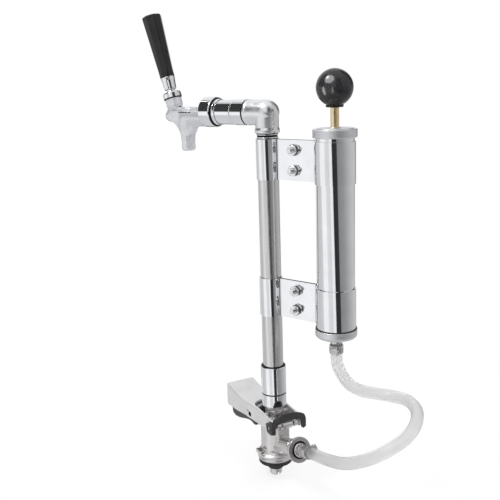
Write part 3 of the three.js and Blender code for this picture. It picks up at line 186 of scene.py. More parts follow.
class Paint(Nodes):
    """One node material: a Principled shader and short names for what feeds it."""

    def __init__(self, name, **sockets):
        self.material = bpy.data.materials.new(name)
        self.material.use_nodes = True
        super().__init__(self.material.node_tree)
        self.shader = self.tree.nodes["Principled BSDF"]
        for key, value in sockets.items():
            self.shader.inputs[key.replace("_", " ")].default_value = value
        self.place = self.node("TexCoord").outputs["Object"]

    def part(self, axis):
        return self.node("SeparateXYZ", {0: self.place}).outputs[axis]

    def stretched(self, scale, offset=(0, 0, 0), source=None):
        sockets = {"Vector": source or self.place, "Scale": scale, "Location": offset}
        return self.node("Mapping", sockets).outputs["Vector"]

    def noise(self, scale, detail, vector=None):
        """scale is one number, or three for a grain that runs along an axis."""
        if isinstance(scale, tuple):
            scale, vector = 1.0, self.stretched(scale)
        sockets = {
            "Scale": scale, "Detail": detail, "Roughness": NOISE_ROUGHNESS,
            "Vector": vector or self.place,
        }
        return self.node("TexNoise", sockets).outputs["Fac"]

    def tones(self, source, low, high):
        self.feed(self.shader.inputs["Base Color"], self.ramp(source, [(0.3, low), (0.7, high)]))

    def tinted(self, mask, colour, rough=None):
        """Lays a second colour, and a second roughness, over the masked stretches."""
        layers = [("Base Color", "RGBA", (*colour, 1))]
        if rough is not None:
            layers.append(("Roughness", "FLOAT", rough))
        for name, kind, value in layers:
            socket = self.shader.inputs[name]
            before = socket.links[0].from_socket
            self.feed(socket, self.mixed(kind, mask, before, value))

    def between(self, axis, *spans):
        """1 where the place along an axis, "X" to "Z" or a frame's Z, is in a span (mm)."""
        if isinstance(axis, str):
            place, offset = self.part(axis), 0
        else:
            up = axis.to_3x3() @ Vector((0, 0, 1))
            place, offset = self.vector("DOT_PRODUCT", self.place, up), axis.translation.dot(up)
        total = None
        for low, high in spans:
            middle, half = ((low + high) / 2 + offset) * MM, (high - low) / 2 * MM
            size = self.maths("ABSOLUTE", self.maths("SUBTRACT", place, middle))
            inside = self.spread(size, 1.0, 0.0, half - EDGE_EASE, half + EDGE_EASE)
            total = inside if total is None else self.maths("MAXIMUM", total, inside)
        return total

    def rough(self, source, low, high):
        self.feed(self.shader.inputs["Roughness"], self.spread(source, low, high))

    def bump(self, *layers):
        """layers: (height source, depth in mm) each, laid over one another."""
        normal = None
        for source, depth in layers:
            sockets = {"Strength": 1.0, "Distance": depth * MM, "Height": source, "Normal": normal}
            normal = self.node("Bump", sockets).outputs["Normal"]
        self.feed(self.shader.inputs["Normal"], normal)


def chrome_paint(name, low=(0.78, 0.79, 0.81), high=(0.85, 0.86, 0.88), wave=0.02,
                 haze=(0.03, 0.075), joints=None, reach=None, metal=1.0, shade=0.02,
                 scratch=0.0015):
    """Plating, with painted shade laid in the joints and gaps between parts, and on the shaded
    sides given, where it is within reach.
    """
    paint = Paint(name, Metallic=metal)
    broad = paint.noise(55, 3)
    paint.tones(broad, low, high)
    paint.rough(paint.noise(160, 4), *haze)
    # painted shade: the joint spans are darkened where shade falls between parts
    if joints:
        dark = paint.between(*joints)
        if reach:
            dark = paint.maths("MULTIPLY", dark, paint.between(*reach))
        paint.tinted(dark, (shade, shade, shade * 1.05), 0.5)
    paint.bump((broad, wave), (paint.noise((2600, 2600, 160), 2), scratch))
    return paint


def plain_paint(name, tone, low, high, haze, *bumps, **sockets):
    """tone is a noise's scale and detail. haze adds the least and greatest roughness to
    them, and each bump its depth in mm."""
    paint = Paint(name, **sockets)
    kinds = dict.fromkeys([tone, haze[:2], *[bump[:2] for bump in bumps]])
    grains = {kind: paint.noise(*kind) for kind in kinds}
    paint.tones(grains[tone], low, high)
    paint.rough(grains[haze[:2]], *haze[2:])
    paint.bump(*[(grains[bump[:2]], bump[2]) for bump in bumps])
    return paint


def paint_recess_shade(paint):
    """The blind hole in each side of the lever gets painted shade inside."""
    for way in (1, -1):
        for along in (1.2, -1.2):
            hole = LEVER @ Vector((RECESS_X + along, way * 16.2, RECESS_Z)) * MM
            away = paint.vector("DISTANCE", paint.place, hole)
            paint.tinted(paint.spread(away, 1.0, 0.0, 0.0032, 0.0034), (0.02, 0.02, 0.02))


def paint_inlet_shade(paint):
    """The fitting's face is duller, and its middle gets painted shade."""
    paint.tinted(paint.between(INLET, (55.45, 60)), (0.46, 0.445, 0.44), 0.40)
    out = paint.vector("SUBTRACT", paint.place, INLET.translation * MM)
    axis = INLET.to_3x3() @ Vector((0, 0, 1))
    off = paint.vector("LENGTH", paint.vector("CROSS_PRODUCT", out, axis))
    # painted shade inside the fitting's middle
    paint.tinted(paint.spread(off, 1.0, 0.0, 0.0092, 0.0096), (0.06, 0.05, 0.05), 0.5)


def turned_aluminium():
    """Fine rings round the pump's axis."""
    paint = Paint("satin_aluminium", Metallic=1.0)
    centred = paint.stretched((1, 1, 1), (-PUMP_X * MM, 0, 0))
    out = paint.vector("LENGTH", paint.stretched((1, 1, 0), source=centred))
    rings = paint.node("CombineXYZ", {0: out, 1: paint.part("Z")}).outputs[0]
    lines = paint.noise(2600, 2, rings)
    patches = paint.noise(120, 3)
    paint.tones(patches, (0.68, 0.69, 0.71), (0.76, 0.77, 0.79))
    paint.rough(lines, 0.36, 0.50)
    paint.bump((lines, 0.006), (patches, 0.02))
    return paint


RECESS_X, RECESS_Z = -24.0, -3.2
STREAKS, FINE_STREAKS = (1500, 1500, 22), (4200, 4200, 60)
PAINTS = {
    "chrome": chrome_paint("polished_chrome"),
    "tube_chrome": chrome_paint(
        "tube_chrome",
        # painted shade in the gaps at the coupling nut, the socket's lip and the elbow nipple's
        # grooves
        joints=("Z", (81.75, 83.25), (113.9, 114.6), (362.95, 364.85), (361.2, 361.8),
                (365.8, 366.6))),
    # painted shade at the collar's joint with the elbow and round the nut's shoulder
    "line_chrome": chrome_paint("line_chrome", joints=("X", (-24.6, -23.4), (-65.8, -63.5))),
    # painted shade along the top edge of each bracket's web
    "sheet_chrome": chrome_paint(
        "sheet_chrome", joints=("Z", (213.95, 214.5), (360.65, 361.2)),
        reach=("X", (13.5, 61.5))),
    "cast_chrome": chrome_paint(
        "cast_chrome", (0.74, 0.75, 0.77), (0.84, 0.85, 0.865), 0.03, (0.26, 0.36),
        scratch=0.0002),
    # painted shade: a dark line round the faucet body over the spout, just under the shank's axis
    "soft_chrome": chrome_paint(
        "soft_chrome", (0.60, 0.612, 0.635), (0.66, 0.672, 0.695), 0.012, (0.30, 0.38),
        joints=("Z", (386.4, 387.4)), reach=("X", (-118.5, -98)), metal=0.5, scratch=0.0001),
    # painted shade where the bonnet's foot meets the body
    "head_chrome": chrome_paint("head_chrome", joints=(HEAD, (8.4, 9.7))),
    # painted shade on the sides of the bolt heads and nuts, leaving their end faces bright
    "bright_steel": chrome_paint(
        "bright_steel", (0.56, 0.56, 0.57), (0.84, 0.84, 0.85), 0.03, (0.08, 0.2),
        joints=("Y", (-5.0, -2.3), (2.3, 4.6)), shade=0.16),
    "brushed": plain_paint(
        "brushed_stainless", (STREAKS, 4), (0.60, 0.60, 0.605), (0.74, 0.74, 0.745),
        (FINE_STREAKS, 2, 0.15, 0.27), (STREAKS, 4, 0.004), (FINE_STREAKS, 2, 0.003),
        Metallic=1.0),
    "nickel": plain_paint(
        "satin_nickel", (90, 4), (0.68, 0.665, 0.66), (0.77, 0.755, 0.75), (90, 4, 0.24, 0.34),
        (90, 4, 0.03), (1500, 3, 0.008), Metallic=1.0),
    "casting": plain_paint(
        "satin_casting", (60, 3), (0.64, 0.64, 0.645), (0.71, 0.71, 0.715), (60, 3, 0.34, 0.44),
        (60, 3, 0.04), (1300, 3, 0.005), Metallic=0.45),
    "inlet_nickel": plain_paint(
        "inlet_nickel", (120, 4), (0.60, 0.585, 0.575), (0.72, 0.705, 0.70),
        (120, 4, 0.22, 0.34), (120, 4, 0.02), Metallic=1.0),
    "aluminium": turned_aluminium(),
    "steel": plain_paint(
        "plated_steel", (300, 4), (0.50, 0.50, 0.51), (0.72, 0.72, 0.73), (300, 4, 0.16, 0.32),
        (900, 3, 0.02), Metallic=1.0),
    "brass": plain_paint(
        "polished_brass", (110, 4), (0.78, 0.60, 0.33), (0.90, 0.74, 0.46),
        (110, 4, 0.16, 0.27), ((700, 700, 5200), 2, 0.003), Metallic=1.0),
    "gloss_black": plain_paint(
        "gloss_black", (70, 4), (0.006, 0.006, 0.007), (0.014, 0.014, 0.015),
        (400, 4, 0.12, 0.22), (320, 2, 0.006), IOR=1.34, Coat_Weight=0.12,
        Coat_Roughness=0.05),
    "moulding": plain_paint(
        "black_moulding", (140, 4), (0.014, 0.014, 0.015), (0.034, 0.034, 0.036),
        (140, 4, 0.32, 0.46), (1800, 3, 0.02), IOR=1.5),
    "rubber": plain_paint(
        "black_rubber", (120, 4), (0.012, 0.012, 0.013), (0.028, 0.028, 0.030),
        (120, 4, 0.42, 0.60), (2200, 3, 0.015), IOR=1.45),
    "washer": plain_paint(
        "grey_fibre", (700, 4), (0.24, 0.25, 0.26), (0.34, 0.35, 0.36), (500, 3, 0.6, 0.8),
        (1600, 3, 0.02), IOR=1.45),
    "nylon": plain_paint(
        "white_nylon", (200, 4), (0.76, 0.75, 0.70), (0.84, 0.83, 0.79), (300, 3, 0.35, 0.5),
        (1200, 3, 0.01), IOR=1.5, Subsurface_Weight=0.1),
    "vinyl": plain_paint(
        "clear_vinyl", (40, 2), (0.84, 0.84, 0.84), (0.88, 0.88, 0.88), (40, 2, 0.27, 0.31),
        (30, 2, 0.004), IOR=1.2, Transmission_Weight=0.86, Coat_Weight=0.6,
        Coat_Roughness=0.06),
}
paint_recess_shade(PAINTS["casting"])
paint_inlet_shade(PAINTS["inlet_nickel"])

# ------------------------------------------------------------------ mesh helpers

ARC_STEPS = 3
SUPPORT_GAP = 0.2
STRAIGHT = math.radians(86)


def rounded(points, radius, closed):
    """The outline with each corner turned into a short arc."""
    count = len(points)
    corners = [Vector((*p[:2], 0)) for p in points]
    radii = [p[2] if len(p) > 2 else radius for p in points]
    result = []
    for i, corner in enumerate(corners):
        ends = not closed and i in (0, count - 1)
        before = corners[i - 1] - corner
        after = corners[(i + 1) % count] - corner
        if ends or radii[i] <= 0 or before.length < 1e-6 or after.length < 1e-6:
            result.append(corner)
            continue
        half = before.angle(after) / 2
        if half > STRAIGHT:
            result.append(corner)
            continue
        reach = min(radii[i] / math.tan(half), 0.45 * before.length, 0.45 * after.length)
        start = corner + before.normalized() * reach
        end = corner + after.normalized() * reach
        for step in range(ARC_STEPS + 1):
            t = step / ARC_STEPS
            result.append(start * (1 - t) ** 2 + corner * 2 * t * (1 - t) + end * t * t)
    return [(p.x, p.y) for p in result]


def outward(outline):
    """The outline in the order that makes its faces look outward."""
    around = zip(outline, outline[1:] + outline[:1])
    area = sum(a[0] * b[1] - b[0] * a[1] for a, b in around)
    return outline if area > 0 else outline[::-1]


def supported(outline):
    """The outline with points near both ends of its long stretches, which keeps them
    truly straight when the corners are shaded smooth."""
    result = []
    for a, b in zip(outline, outline[1:] + outline[:1]):
        result.append(a)
        length = math.dist(a[:2], b[:2])
        if length < 6 * SUPPORT_GAP or (a[0] == 0 and b[0] == 0):
            continue
        for t in (SUPPORT_GAP / length, 1 - SUPPORT_GAP / length):
            result.append((a[0] + (b[0] - a[0]) * t, a[1] + (b[1] - a[1]) * t))
    return result


def lathe(outline, sides=96, radius=0.25, warp=None):
    """Vertices and faces of a piece turned about Z from its (radius, height) outline."""
    closed = not (outline[0][0] == 0 and outline[-1][0] == 0)
    outline = supported(rounded(outward(outline), radius, closed))
    verts, rows = [], []
    for r, z in outline:
        if r < 1e-9:
            rows.append([len(verts)] * sides)
            verts.append((0, 0, z))
            continue
        rows.append(list(range(len(verts), len(verts) + sides)))
        for i in range(sides):
            a = 2 * math.pi * i / sides
            reach = r * (warp(a, z) if warp else 1)
            verts.append((reach * math.cos(a), reach * math.sin(a), z))
    faces = []
    for low, high in zip(rows, rows[1:] + (rows[:1] if closed else [])):
        for i in range(sides):
            j = (i + 1) % sides
            ring = [low[i], low[j], high[j], high[i]]
            face = [v for k, v in enumerate(ring) if v not in ring[:k]]
            if len(face) > 2:
                faces.append(face)
    return verts, faces


def slab(outline, low, high, radius=0.0):
    """An XY outline pulled up from low to high."""
    outline = supported(rounded(outward(outline), radius, True))
    count = len(outline)
    verts = [(x, y, z) for z in (low, high) for x, y in outline]
    faces = [list(range(count))[::-1], list(range(count, 2 * count))]
    for i in range(count):
        j = (i + 1) % count
        faces.append([i, j, count + j, count + i])
    return verts, faces


def moved(shape, matrix):
    verts, faces = shape
    return [tuple(matrix @ Vector(v)) for v in verts], faces


def across(outline, half, radius=0.0):
    """An XZ outline pulled along Y."""
    return moved(slab(outline, -half, half, radius), spin(90, "X"))


def box(x0, x1, y0, y1, z0, z1, radius=0.0):
    return slab([(x0, y0), (x1, y0), (x1, y1), (x0, y1)], z0, z1, radius)


def rod(r, low, high, sides=64):
    return lathe([(0, low), (r, low), (r, high), (0, high)], sides, 0)


def rod_x(r, low, high, sides=64, z=0):
    return moved(rod(r, low, high, sides), shift(0, 0, z) @ ALONG_X)


def rod_y(r, half, x, z, sides=64):
    return moved(rod(r, -half, half, sides), shift(x, 0, z) @ ALONG_Y)


def tube(inner, outer, low, high, sides=96, radius=0.25):
    outline = [(inner, low), (outer, low), (outer, high), (inner, high)]
    return lathe(outline, sides, radius)


def arc(cx, cy, r, start, end, steps):
    angles = [start + (end - start) * i / steps for i in range(steps + 1)]
    return [(cx + r * math.cos(a), cy + r * math.sin(a)) for a in angles]


def sphere(r, x, y, z, sides=64):
    rows = sides // 2
    angles = [math.pi * i / rows for i in range(rows + 1)]
    outline = [(r * math.sin(a), -r * math.cos(a)) for a in angles]
    outline[0] = (0, -r)
    outline[-1] = (0, r)
    return moved(lathe(outline, sides, 0), shift(x, y, z))


def smooth_line(points, steps):
    """Points of a smooth line through the given ones, in any number of dimensions."""

    def mix(a, b, start, end):
        return (end - t) / (end - start) * a + (t - start) / (end - start) * b

    given = np.array(points, float)
    padded = np.vstack([2 * given[0] - given[1], given, 2 * given[-1] - given[-2]])
    gaps = np.sqrt(np.linalg.norm(np.diff(padded, axis=0), axis=1))
    knots = np.concatenate([[0], np.cumsum(gaps)])
    line = []
    for i in range(1, len(padded) - 2):
        t0, t1, t2, t3 = knots[i - 1 : i + 3]
        p0, p1, p2, p3 = padded[i - 1 : i + 3]
        for step in range(steps):
            t = t1 + (t2 - t1) * step / steps
            a1, a2, a3 = mix(p0, p1, t0, t1), mix(p1, p2, t1, t2), mix(p2, p3, t2, t3)
            b1, b2 = mix(a1, a2, t0, t2), mix(a2, a3, t1, t3)
            line.append(tuple(mix(b1, b2, t1, t2)))
    line.append(tuple(given[-1]))
    return line


def sweep(path, outer, inner, sides):
    """A tube of two walls along a path."""
    path = [Vector(p) for p in path]
    count = len(path)
    rings = []
    side = (path[1] - path[0]).orthogonal().normalized()
    for i, point in enumerate(path):
        ahead = (path[min(i + 1, count - 1)] - path[max(i - 1, 0)]).normalized()
        side = (side - ahead * side.dot(ahead)).normalized()
        rings.append((point, side.copy(), ahead.cross(side)))
    verts, faces = [], []
    for r in (outer, inner):
        for point, u, v in rings:
            for k in range(sides):
                a = 2 * math.pi * k / sides
                verts.append(tuple(point + (u * math.cos(a) + v * math.sin(a)) * r))
    wall = count * sides
    for base in (0, wall):
        for i in range(count - 1):
            for k in range(sides):
                low, j = base + i * sides, (k + 1) % sides
                quad = [low + k, low + j, low + sides + j, low + sides + k]
                faces.append(quad[::-1] if base else quad)
    for end in (0, count - 1):
        for k in range(sides):
            a, b = end * sides + k, end * sides + (k + 1) % sides
            quad = [a, wall + a, wall + b, b]
            faces.append(quad[::-1] if end else quad)
    return verts, faces


def temporary(shape):
    """A working object of the shape."""
    verts, faces = shape
    mesh = bpy.data.meshes.new("working")
    mesh.from_pydata(verts, [], faces)
    mesh.validate()
    mesh.update()
    made = bpy.data.objects.new("working", mesh)
    scene.collection.objects.link(made)
    return made


def as_shape(obj):
    """A working object's mesh as a shape. The object goes."""
    mesh = obj.data
    shape = [tuple(v.co) for v in mesh.vertices], [list(p.vertices) for p in mesh.polygons]
    bpy.data.objects.remove(obj)
    return shape


def baked(obj, kind, **values):
    """Applies one modifier to an object's mesh."""
    modifier = obj.modifiers.new(kind.lower(), kind)
    for key, value in values.items():
        setattr(modifier, key, value)
    bpy.context.view_layer.update()
    graph = bpy.context.evaluated_depsgraph_get()
    mesh = bpy.data.meshes.new_from_object(obj.evaluated_get(graph))
    obj.modifiers.clear()
    old = obj.data
    obj.data = mesh
    bpy.data.meshes.remove(old)


def merged(base, shape, operation):
    """The base, an object or a shape, with one more shape joined, cut out or overlapped."""
    if isinstance(base, tuple):
        base = temporary(base)
    other = temporary(shape)
    baked(base, "BOOLEAN", operation=operation, object=other, solver="MANIFOLD")
    bpy.data.objects.remove(other)
    return base


def combined(shapes, cuts=()):
    """The shapes joined into one solid, less the cuts."""
    base = temporary(shapes[0])
    for shape in shapes[1:]:
        merged(base, shape, "UNION")
    for shape in cuts:
        merged(base, shape, "DIFFERENCE")
    return base


def softened(obj, voxel, rounds):
    """A cast look: the solid remade in small even faces, with every edge eased."""
    baked(obj, "REMESH", mode="VOXEL", voxel_size=voxel)
    baked(obj, "SMOOTH", factor=0.5, iterations=rounds)


def finished(obj, node, look, body, matrix=WORLD, crease=32):
    """Names, places, shades and seats one piece."""
    obj.name = obj.data.name = node + "_fine"
    obj.data.transform(Matrix.Scale(MM, 4) @ matrix)
    obj.data.materials.clear()
    obj.data.materials.append(PAINTS[look].material)
    for polygon in obj.data.polygons:
        polygon.use_smooth = True
    obj.data.set_sharp_from_angle(angle=math.radians(crease))
    if body:
        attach(obj, body)
    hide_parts(node)
    return obj


def piece(node, shape, look, body, matrix=WORLD, crease=32):
    return finished(temporary(shape), node, look, body, matrix, crease)


def turned(node, look, body, matrix, sides, outline):
    piece(node, lathe(outline, sides), look, body, matrix)


# ------------------------------------------------------------------ hose

HOSE_R, HOSE_BORE_R = 6.0, 4.1
HOSE_FOOT = INLET @ Vector((0, 0, 58.2))
HOSE_HEAD = Vector((PUMP_X, 0, 155.3))
HOSE_ROUTE = [
    (59.5, -26.5, 38.5), (68.5, -30.5, 41), (89.5, -40.5, 46), (108.5, -50.5, 52.3),
    (127, -58.5, 59.2), (145, -61, 67.7), (159, -58.5, 75.5), (171.5, -50, 84),
    (179.5, -37.5, 91), (181, -22.5, 97), (176.5, -6.5, 101.7), (166, 7.5, 103.7),
    (151.5, 16, 104.2), (134, 17.5, 103.3), (119, 14, 103.7), (107, 8, 105.7),
    (96.5, 2.5, 111.5), (88.5, -0.5, 122), (83.2, -0.8, 133), (81.6, 0, 143.5),
]


def make_hose():
    path = smooth_line([tuple(HOSE_FOOT), *HOSE_ROUTE, tuple(HOSE_HEAD)], 10)
    length = sum((Vector(b) - Vector(a)).length for a, b in zip(path, path[1:]))
    wall = sweep(path, HOSE_R, HOSE_BORE_R, 48)
    hose = piece("air_hose", wall, "vinyl", None, crease=60)
    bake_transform(hose)
    return hose, [Vector(p) * MM for p in path], length * MM


hose_piece, hose_path, hose_length = make_hose()

# ------------------------------------------------------------------ keg coupler


def make_coupler_body():
    casting = lathe([
        (0, 5), (19.5, 5, 0.4), (19.5, 7.4, 0.5), (18.1, 8.0, 0.3), (18.1, 8.6, 0.3),
        (20.1, 9.2, 0.5), (20.1, 12.0, 0.8), (17.9, 13.2, 0.8), (16.4, 15.2, 1.5),
        (15.5, 18.5, 2), (15.3, 34, 2), (15.5, 51.9, 0.6), (14.7, 52.7, 0.3), (0, 52.7),
    ])
    lugs = []
    span = math.radians(15)
    for side in (1, -1):
        middle = side * math.pi / 2
        outline = arc(0, 0, 22.4, middle - span, middle + span, 14)
        outline += arc(0, 0, 13.5, middle + span, middle - span, 8)
        lugs.append(slab(outline, 13.5, 17.5))
    tilted = COUPLER.inverted() @ INLET
    boss = [(0, 8), (9.4, 8), (9.6, 40), (9.9, 42.2, 0.5), (9.5, 43, 0.4), (0, 43)]
    hinge = [(12, 50.1), (28.6, 50.1), (30, 52.3), (30, 55.1), (28.6, 57.3), (12, 57.3)]
    column = box(12, 20, -7.6, 7.6, 28.4, PIVOT_Z, 1.5)
    knuckle = rod_y(5.2, 7.4, PIVOT_X, PIVOT_Z)
    bore = [(0, 4), (9.3, 4), (9.3, 17), (10.7, 18.5), (10.7, 54), (0, 54)]
    cuts = [
        lathe(bore, 72, 0),
        moved(rod(4.2, 5, 43), tilted),
        moved(rod(7.1, 31.7, 44), tilted),
        rod_y(2.3, 30, PIVOT_X, PIVOT_Z),
    ]
    for middle in (7.0, -7.0):
        cuts.append(box(24, 33, middle - 0.8, middle + 0.8, PIVOT_Z - 5, PIVOT_Z + 5))
    boss_shape = moved(lathe(boss, 72), tilted)
    body = combined([casting, *lugs, boss_shape, across(hinge, 13), column, knuckle], cuts)
    softened(body, 0.5, 5)
    finished(body, "coupler_body", "nickel", "coupler", COUPLER, 50)


BARB_RIDGE, BARB_ROOT, BARB_BORE = 3.45, 2.75, 2.2


def barb(start, reach, count):
    step = reach / count
    outline = []
    for i in range(count):
        outline.append((BARB_RIDGE, start + i * step, 0.1))
        outline.append((BARB_ROOT, start + (i + 1) * step, 0.1))
    outline.append((BARB_BORE, start + reach, 0.1))
    return outline


def hose_clamp(node, body, matrix):
    """A worm-drive clamp: slotted band, housing, and a slotted screw."""
    inner, outer, half = 6.3, 7.2, 4.25
    band = tube(inner, outer, -half, half, 96, 0.15)
    slant = shift(outer) @ spin(14, "X")
    slots = [
        moved(box(-0.35, 1, -0.32, 0.32, -2.1, 2.1), spin(40 + i * 12.7) @ slant)
        for i in range(22)
    ]
    housing = [(6.7, -3.2), (10.2, -3.2), (10.6, -2.6), (10.6, 2.6), (10.2, 3.2), (6.7, 3.2)]
    screw = [(0, -4.5), (1.9, -4.5, 0.2), (2.1, -4.2), (2.1, 3.2), (2.6, 3.3, 0.2),
             (2.6, 4.5, 0.3), (0, 4.5)]
    axis = shift(8.8) @ ALONG_Y
    nick = moved(box(-3, 3, -0.35, 0.35, 3.7, 5), axis)
    made = combined(
        [band, slab(housing, -3.25, 3.25, 0.5), moved(lathe(screw, 36), axis)],
        [*slots, nick, rod(inner, -5, 5, 96)],
    )
    finished(made, node, "steel", body, matrix)


def make_coupler():
    make_coupler_body()
    turned("keg_seal", "rubber", "coupler", COUPLER, 96, [
        (7.1, -7.9), (8.6, -7.9, 0.8), (8.6, -0.9, 0.3), (9.5, 0, 0.4), (18.2, 0, 0.5),
        (18.7, 0.6, 0.5), (18.7, 2.1, 0.3), (18.2, 2.5, 0.3), (18.7, 2.9, 0.3),
        (18.7, 4.7, 0.3), (7.1, 4.7),
    ])
    turned("gas_inlet_fitting", "inlet_nickel", "coupler", INLET, 96, [
        (4.4, 33.5), (6.8, 33.5), (6.8, 43.3), (9.8, 43.3, 0.3), (9.8, 44.6, 0.3),
        (9.2, 45.2, 0.2), (9.2, 46.0, 0.2), (9.8, 46.6, 0.3), (9.8, 52.7, 0.4),
        (13.7, 52.7, 0.5), (13.7, 55.1, 0.5), (13.1, 55.7, 0.4), (8.9, 55.7, 0.25),
        (8.9, 51.7), (4.4, 51.7),
    ])
    turned("inlet_tailpiece", "nickel", "coupler", INLET, 72, [
        (2.2, 35.5), (4.1, 35.5), (4.1, 52.0), (7.6, 52.0, 0.2), (7.6, 53.4, 0.3),
        (6.9, 53.9, 0.2), (7.6, 54.4, 0.3), (7.6, 57.3, 0.4), (6.9, 57.9, 0.3),
        *barb(57.9, 20, 5),
    ])
    hose_clamp("hose_clamp_lower", "coupler", INLET @ shift(0, 0, 72.05) @ spin(98))
    pin = [(0, -21.6), (1.7, -21.6), (2, -21.2), (2, 21.2), (1.7, 21.6), (0, 21.6)]
    turned("lever_pivot_pin", "steel", "coupler", LEVER @ shift(PIVOT_X) @ ALONG_Y, 48, pin)
    groove_low, groove_high = 54.5, 59.9
    tip = -15.9
    outline = [
        (4.8, tip), (5.9, tip, 0.3), (6.8, tip + 1.4, 0.5), (6.8, 27), (10.4, 27),
        (10.4, 28), (8.9, 28), (8.9, 30.95), (10.4, 30.95), (10.4, 34), (8.9, 34),
        (8.9, 36.95), (10.4, 36.95), (10.4, groove_low), (8.0, groove_low),
        (8.0, groove_high), (10.4, groove_high), (10.4, 62.6, 0.3), (10.0, 63.2, 0.2),
        (10.4, 63.8, 0.3), (10.4, 74.4), (7.0, 74.4), (7.0, 63.7), (4.8, 61.7),
    ]
    probe = combined([lathe(outline, 72, 0.15)], [box(-20, 20, -1.6, 1.6, tip - 1, tip + 3.4)])
    finished(probe, "probe", "nickel", "tower", COUPLER)


# ------------------------------------------------------------------ coupler lever

LEVER_TOP = [
    (-83, 13.9), (-72, 11.4), (-61, 9.3), (-50, 8.4), (-40, 8.3), (-28, 9.3), (-14, 10.4),
    (-3, 10.2), (8, 9),
]
TRIGGER_X, TRIGGER_Z = -28.5, -1.0
PIN_HOLE_R, PIVOT_HOLE_R = 1.95, 2.15


def fork(r, root, ahead):
    """The round and the straight part of a slot of half width r that opens to +X."""
    return [
        moved(rod(r, -40, 40, 96), shift(r + root)),
        box(r + root, ahead, -r, r, -40, 40),
    ]


def make_lever():
    top = smooth_line(LEVER_TOP, 5)
    outline = [
        *top, (18, 8.2), (26.5, 7.8), (29, 5.8), (29, -4), (26, -6), (12, -6.8), (2, -7.8),
        (-15, -8.3), (-40, -10.4), (-63, -13.1), (-83.5, -14), (-86, -8.7), (-85.4, 9),
        (-84.6, 12.7),
    ]
    plan = [
        (-86, -16.1), (-84, -17.6), (-12, -19), (29, -19), (29, 19), (-12, 19), (-84, 17.6),
        (-86, 16.1),
    ]
    roof = [(x, z - 2.7) for x, z in top if -73 < x < -13]
    hollow = across([*roof, (-10, 7.7), (-10, -24), (-83.3, -24), (-82.8, 9)], 14.9)
    inner = 15.9
    body = merged(across(outline, 19), slab(plan, -30, 40), "INTERSECT")
    softened(body, 0.6, 45)
    for shape in (hollow, *fork(inner, -28, 39)):
        merged(body, shape, "DIFFERENCE")
    softened(body, 0.5, 3)
    # the step that closes the fork's root round the probe
    step = combined([box(-31, -11, -16.6, 16.6, 1.0, 4.6)], fork(14.4, -23.8, 20))
    merged(body, as_shape(step), "UNION")
    cuts = [
        rod_y(PIVOT_HOLE_R, 30, PIVOT_X, 0),
        rod_y(PIN_HOLE_R, 30, TRIGGER_X, TRIGGER_Z),
    ]
    for way in (1, -1):
        oval = moved(box(-3.4, 3.4, -2.9, 2.9, -1.7, 6, 2.8), spin(-90 * way, "X"))
        cuts.append(moved(oval, shift(RECESS_X, way * 18.2, RECESS_Z)))
    for shape in cuts:
        merged(body, shape, "DIFFERENCE")
    for way in (1, -1):
        stud = rod(2.2, 8.6, inner + 1, 32)
        merged(body, moved(stud, shift(0, 0, 3.5) @ spin(-90 * way, "X")), "UNION")
    finished(body, "coupler_lever", "casting", "lever", LEVER, 40)


def make_trigger():
    px, pz = TRIGGER_X, TRIGGER_Z
    belly = smooth_line([
        (-76.5, -21.5), (-71, -23.4), (-62, -22.8), (-53, -20.6), (-44, -17.8), (-35, -15.6),
        (-28, -15.4), (-23, -16.6),
    ], 5)
    outline = [
        (-78, -15), *belly, (-18.5, -15.8), (-18, -11.5), (px + 9, -6), (px + 6.5, 3),
        (px - 5.5, 3.4), (-45, -1.6), (-78, -7),
    ]
    body = combined([across(outline, 14.4)], [
        rod_y(PIN_HOLE_R, 30, px, pz),
        rod_y(4.3, 5, px, pz),
        box(px - 1.5, px + 1.5, -5, 5, pz, 8),
    ])
    softened(body, 0.6, 6)
    finished(body, "lever_trigger", "moulding", "trigger", LEVER, 50)


def make_clip():
    inner, outer, front = 19.3, 21.6, 29.3
    half = [
        *smooth_line([(0, 14.8), (8, 13.9), (14, 12.2), (17.5, 10.8)], 5),
        (21.6, 4.5), (21.6, -4.5), (18.6, -7), (16.3, -5.5),
        *smooth_line([(16.3, 0.5), (14.5, 3.4), (12, 4.6), (6, 5.8), (0, 6)], 5),
    ]
    outline = half + [(-y, z) for y, z in half[-2:0:-1]]
    to_front = Matrix(((0, 0, 1, 0), (1, 0, 0, 0), (0, 1, 0, 0), (0, 0, 0, 1)))
    shapes = [moved(slab(outline, front, front + 2.3), to_front)]
    cheek = across([
        (31.6, 4.2), (30.3, 6.4), (27.3, 8.4), (18.3, 3.2), (20.8, -5.2), (24.3, -6.6),
        (30.8, -6.6), (31.6, -4.2),
    ], 1.15, 0.8)
    for way in (1, -1):
        shapes.append(moved(cheek, shift(0, way * (inner + 1.15))))
        hub = shift(PIVOT_X, way * outer) @ spin(-90 * way, "X")
        shapes.append(moved(rod(4.4, 0, 0.7, 48), hub))
    body = combined(shapes, [rod_y(PIVOT_HOLE_R, 30, PIVOT_X, 0)])
    softened(body, 0.3, 2)
    finished(body, "hinge_clip", "moulding", "lever", LEVER, 50)


def make_trigger_pin():
    outline = [(0, -18), (1.5, -18), (1.8, -17.7), (1.8, 17.7), (1.5, 18), (0, 18)]
    place = LEVER @ shift(TRIGGER_X, 0, TRIGGER_Z) @ ALONG_Y
    turned("trigger_pin", "steel", "lever", place, 40, outline)


# ------------------------------------------------------------------ tower tube and elbow


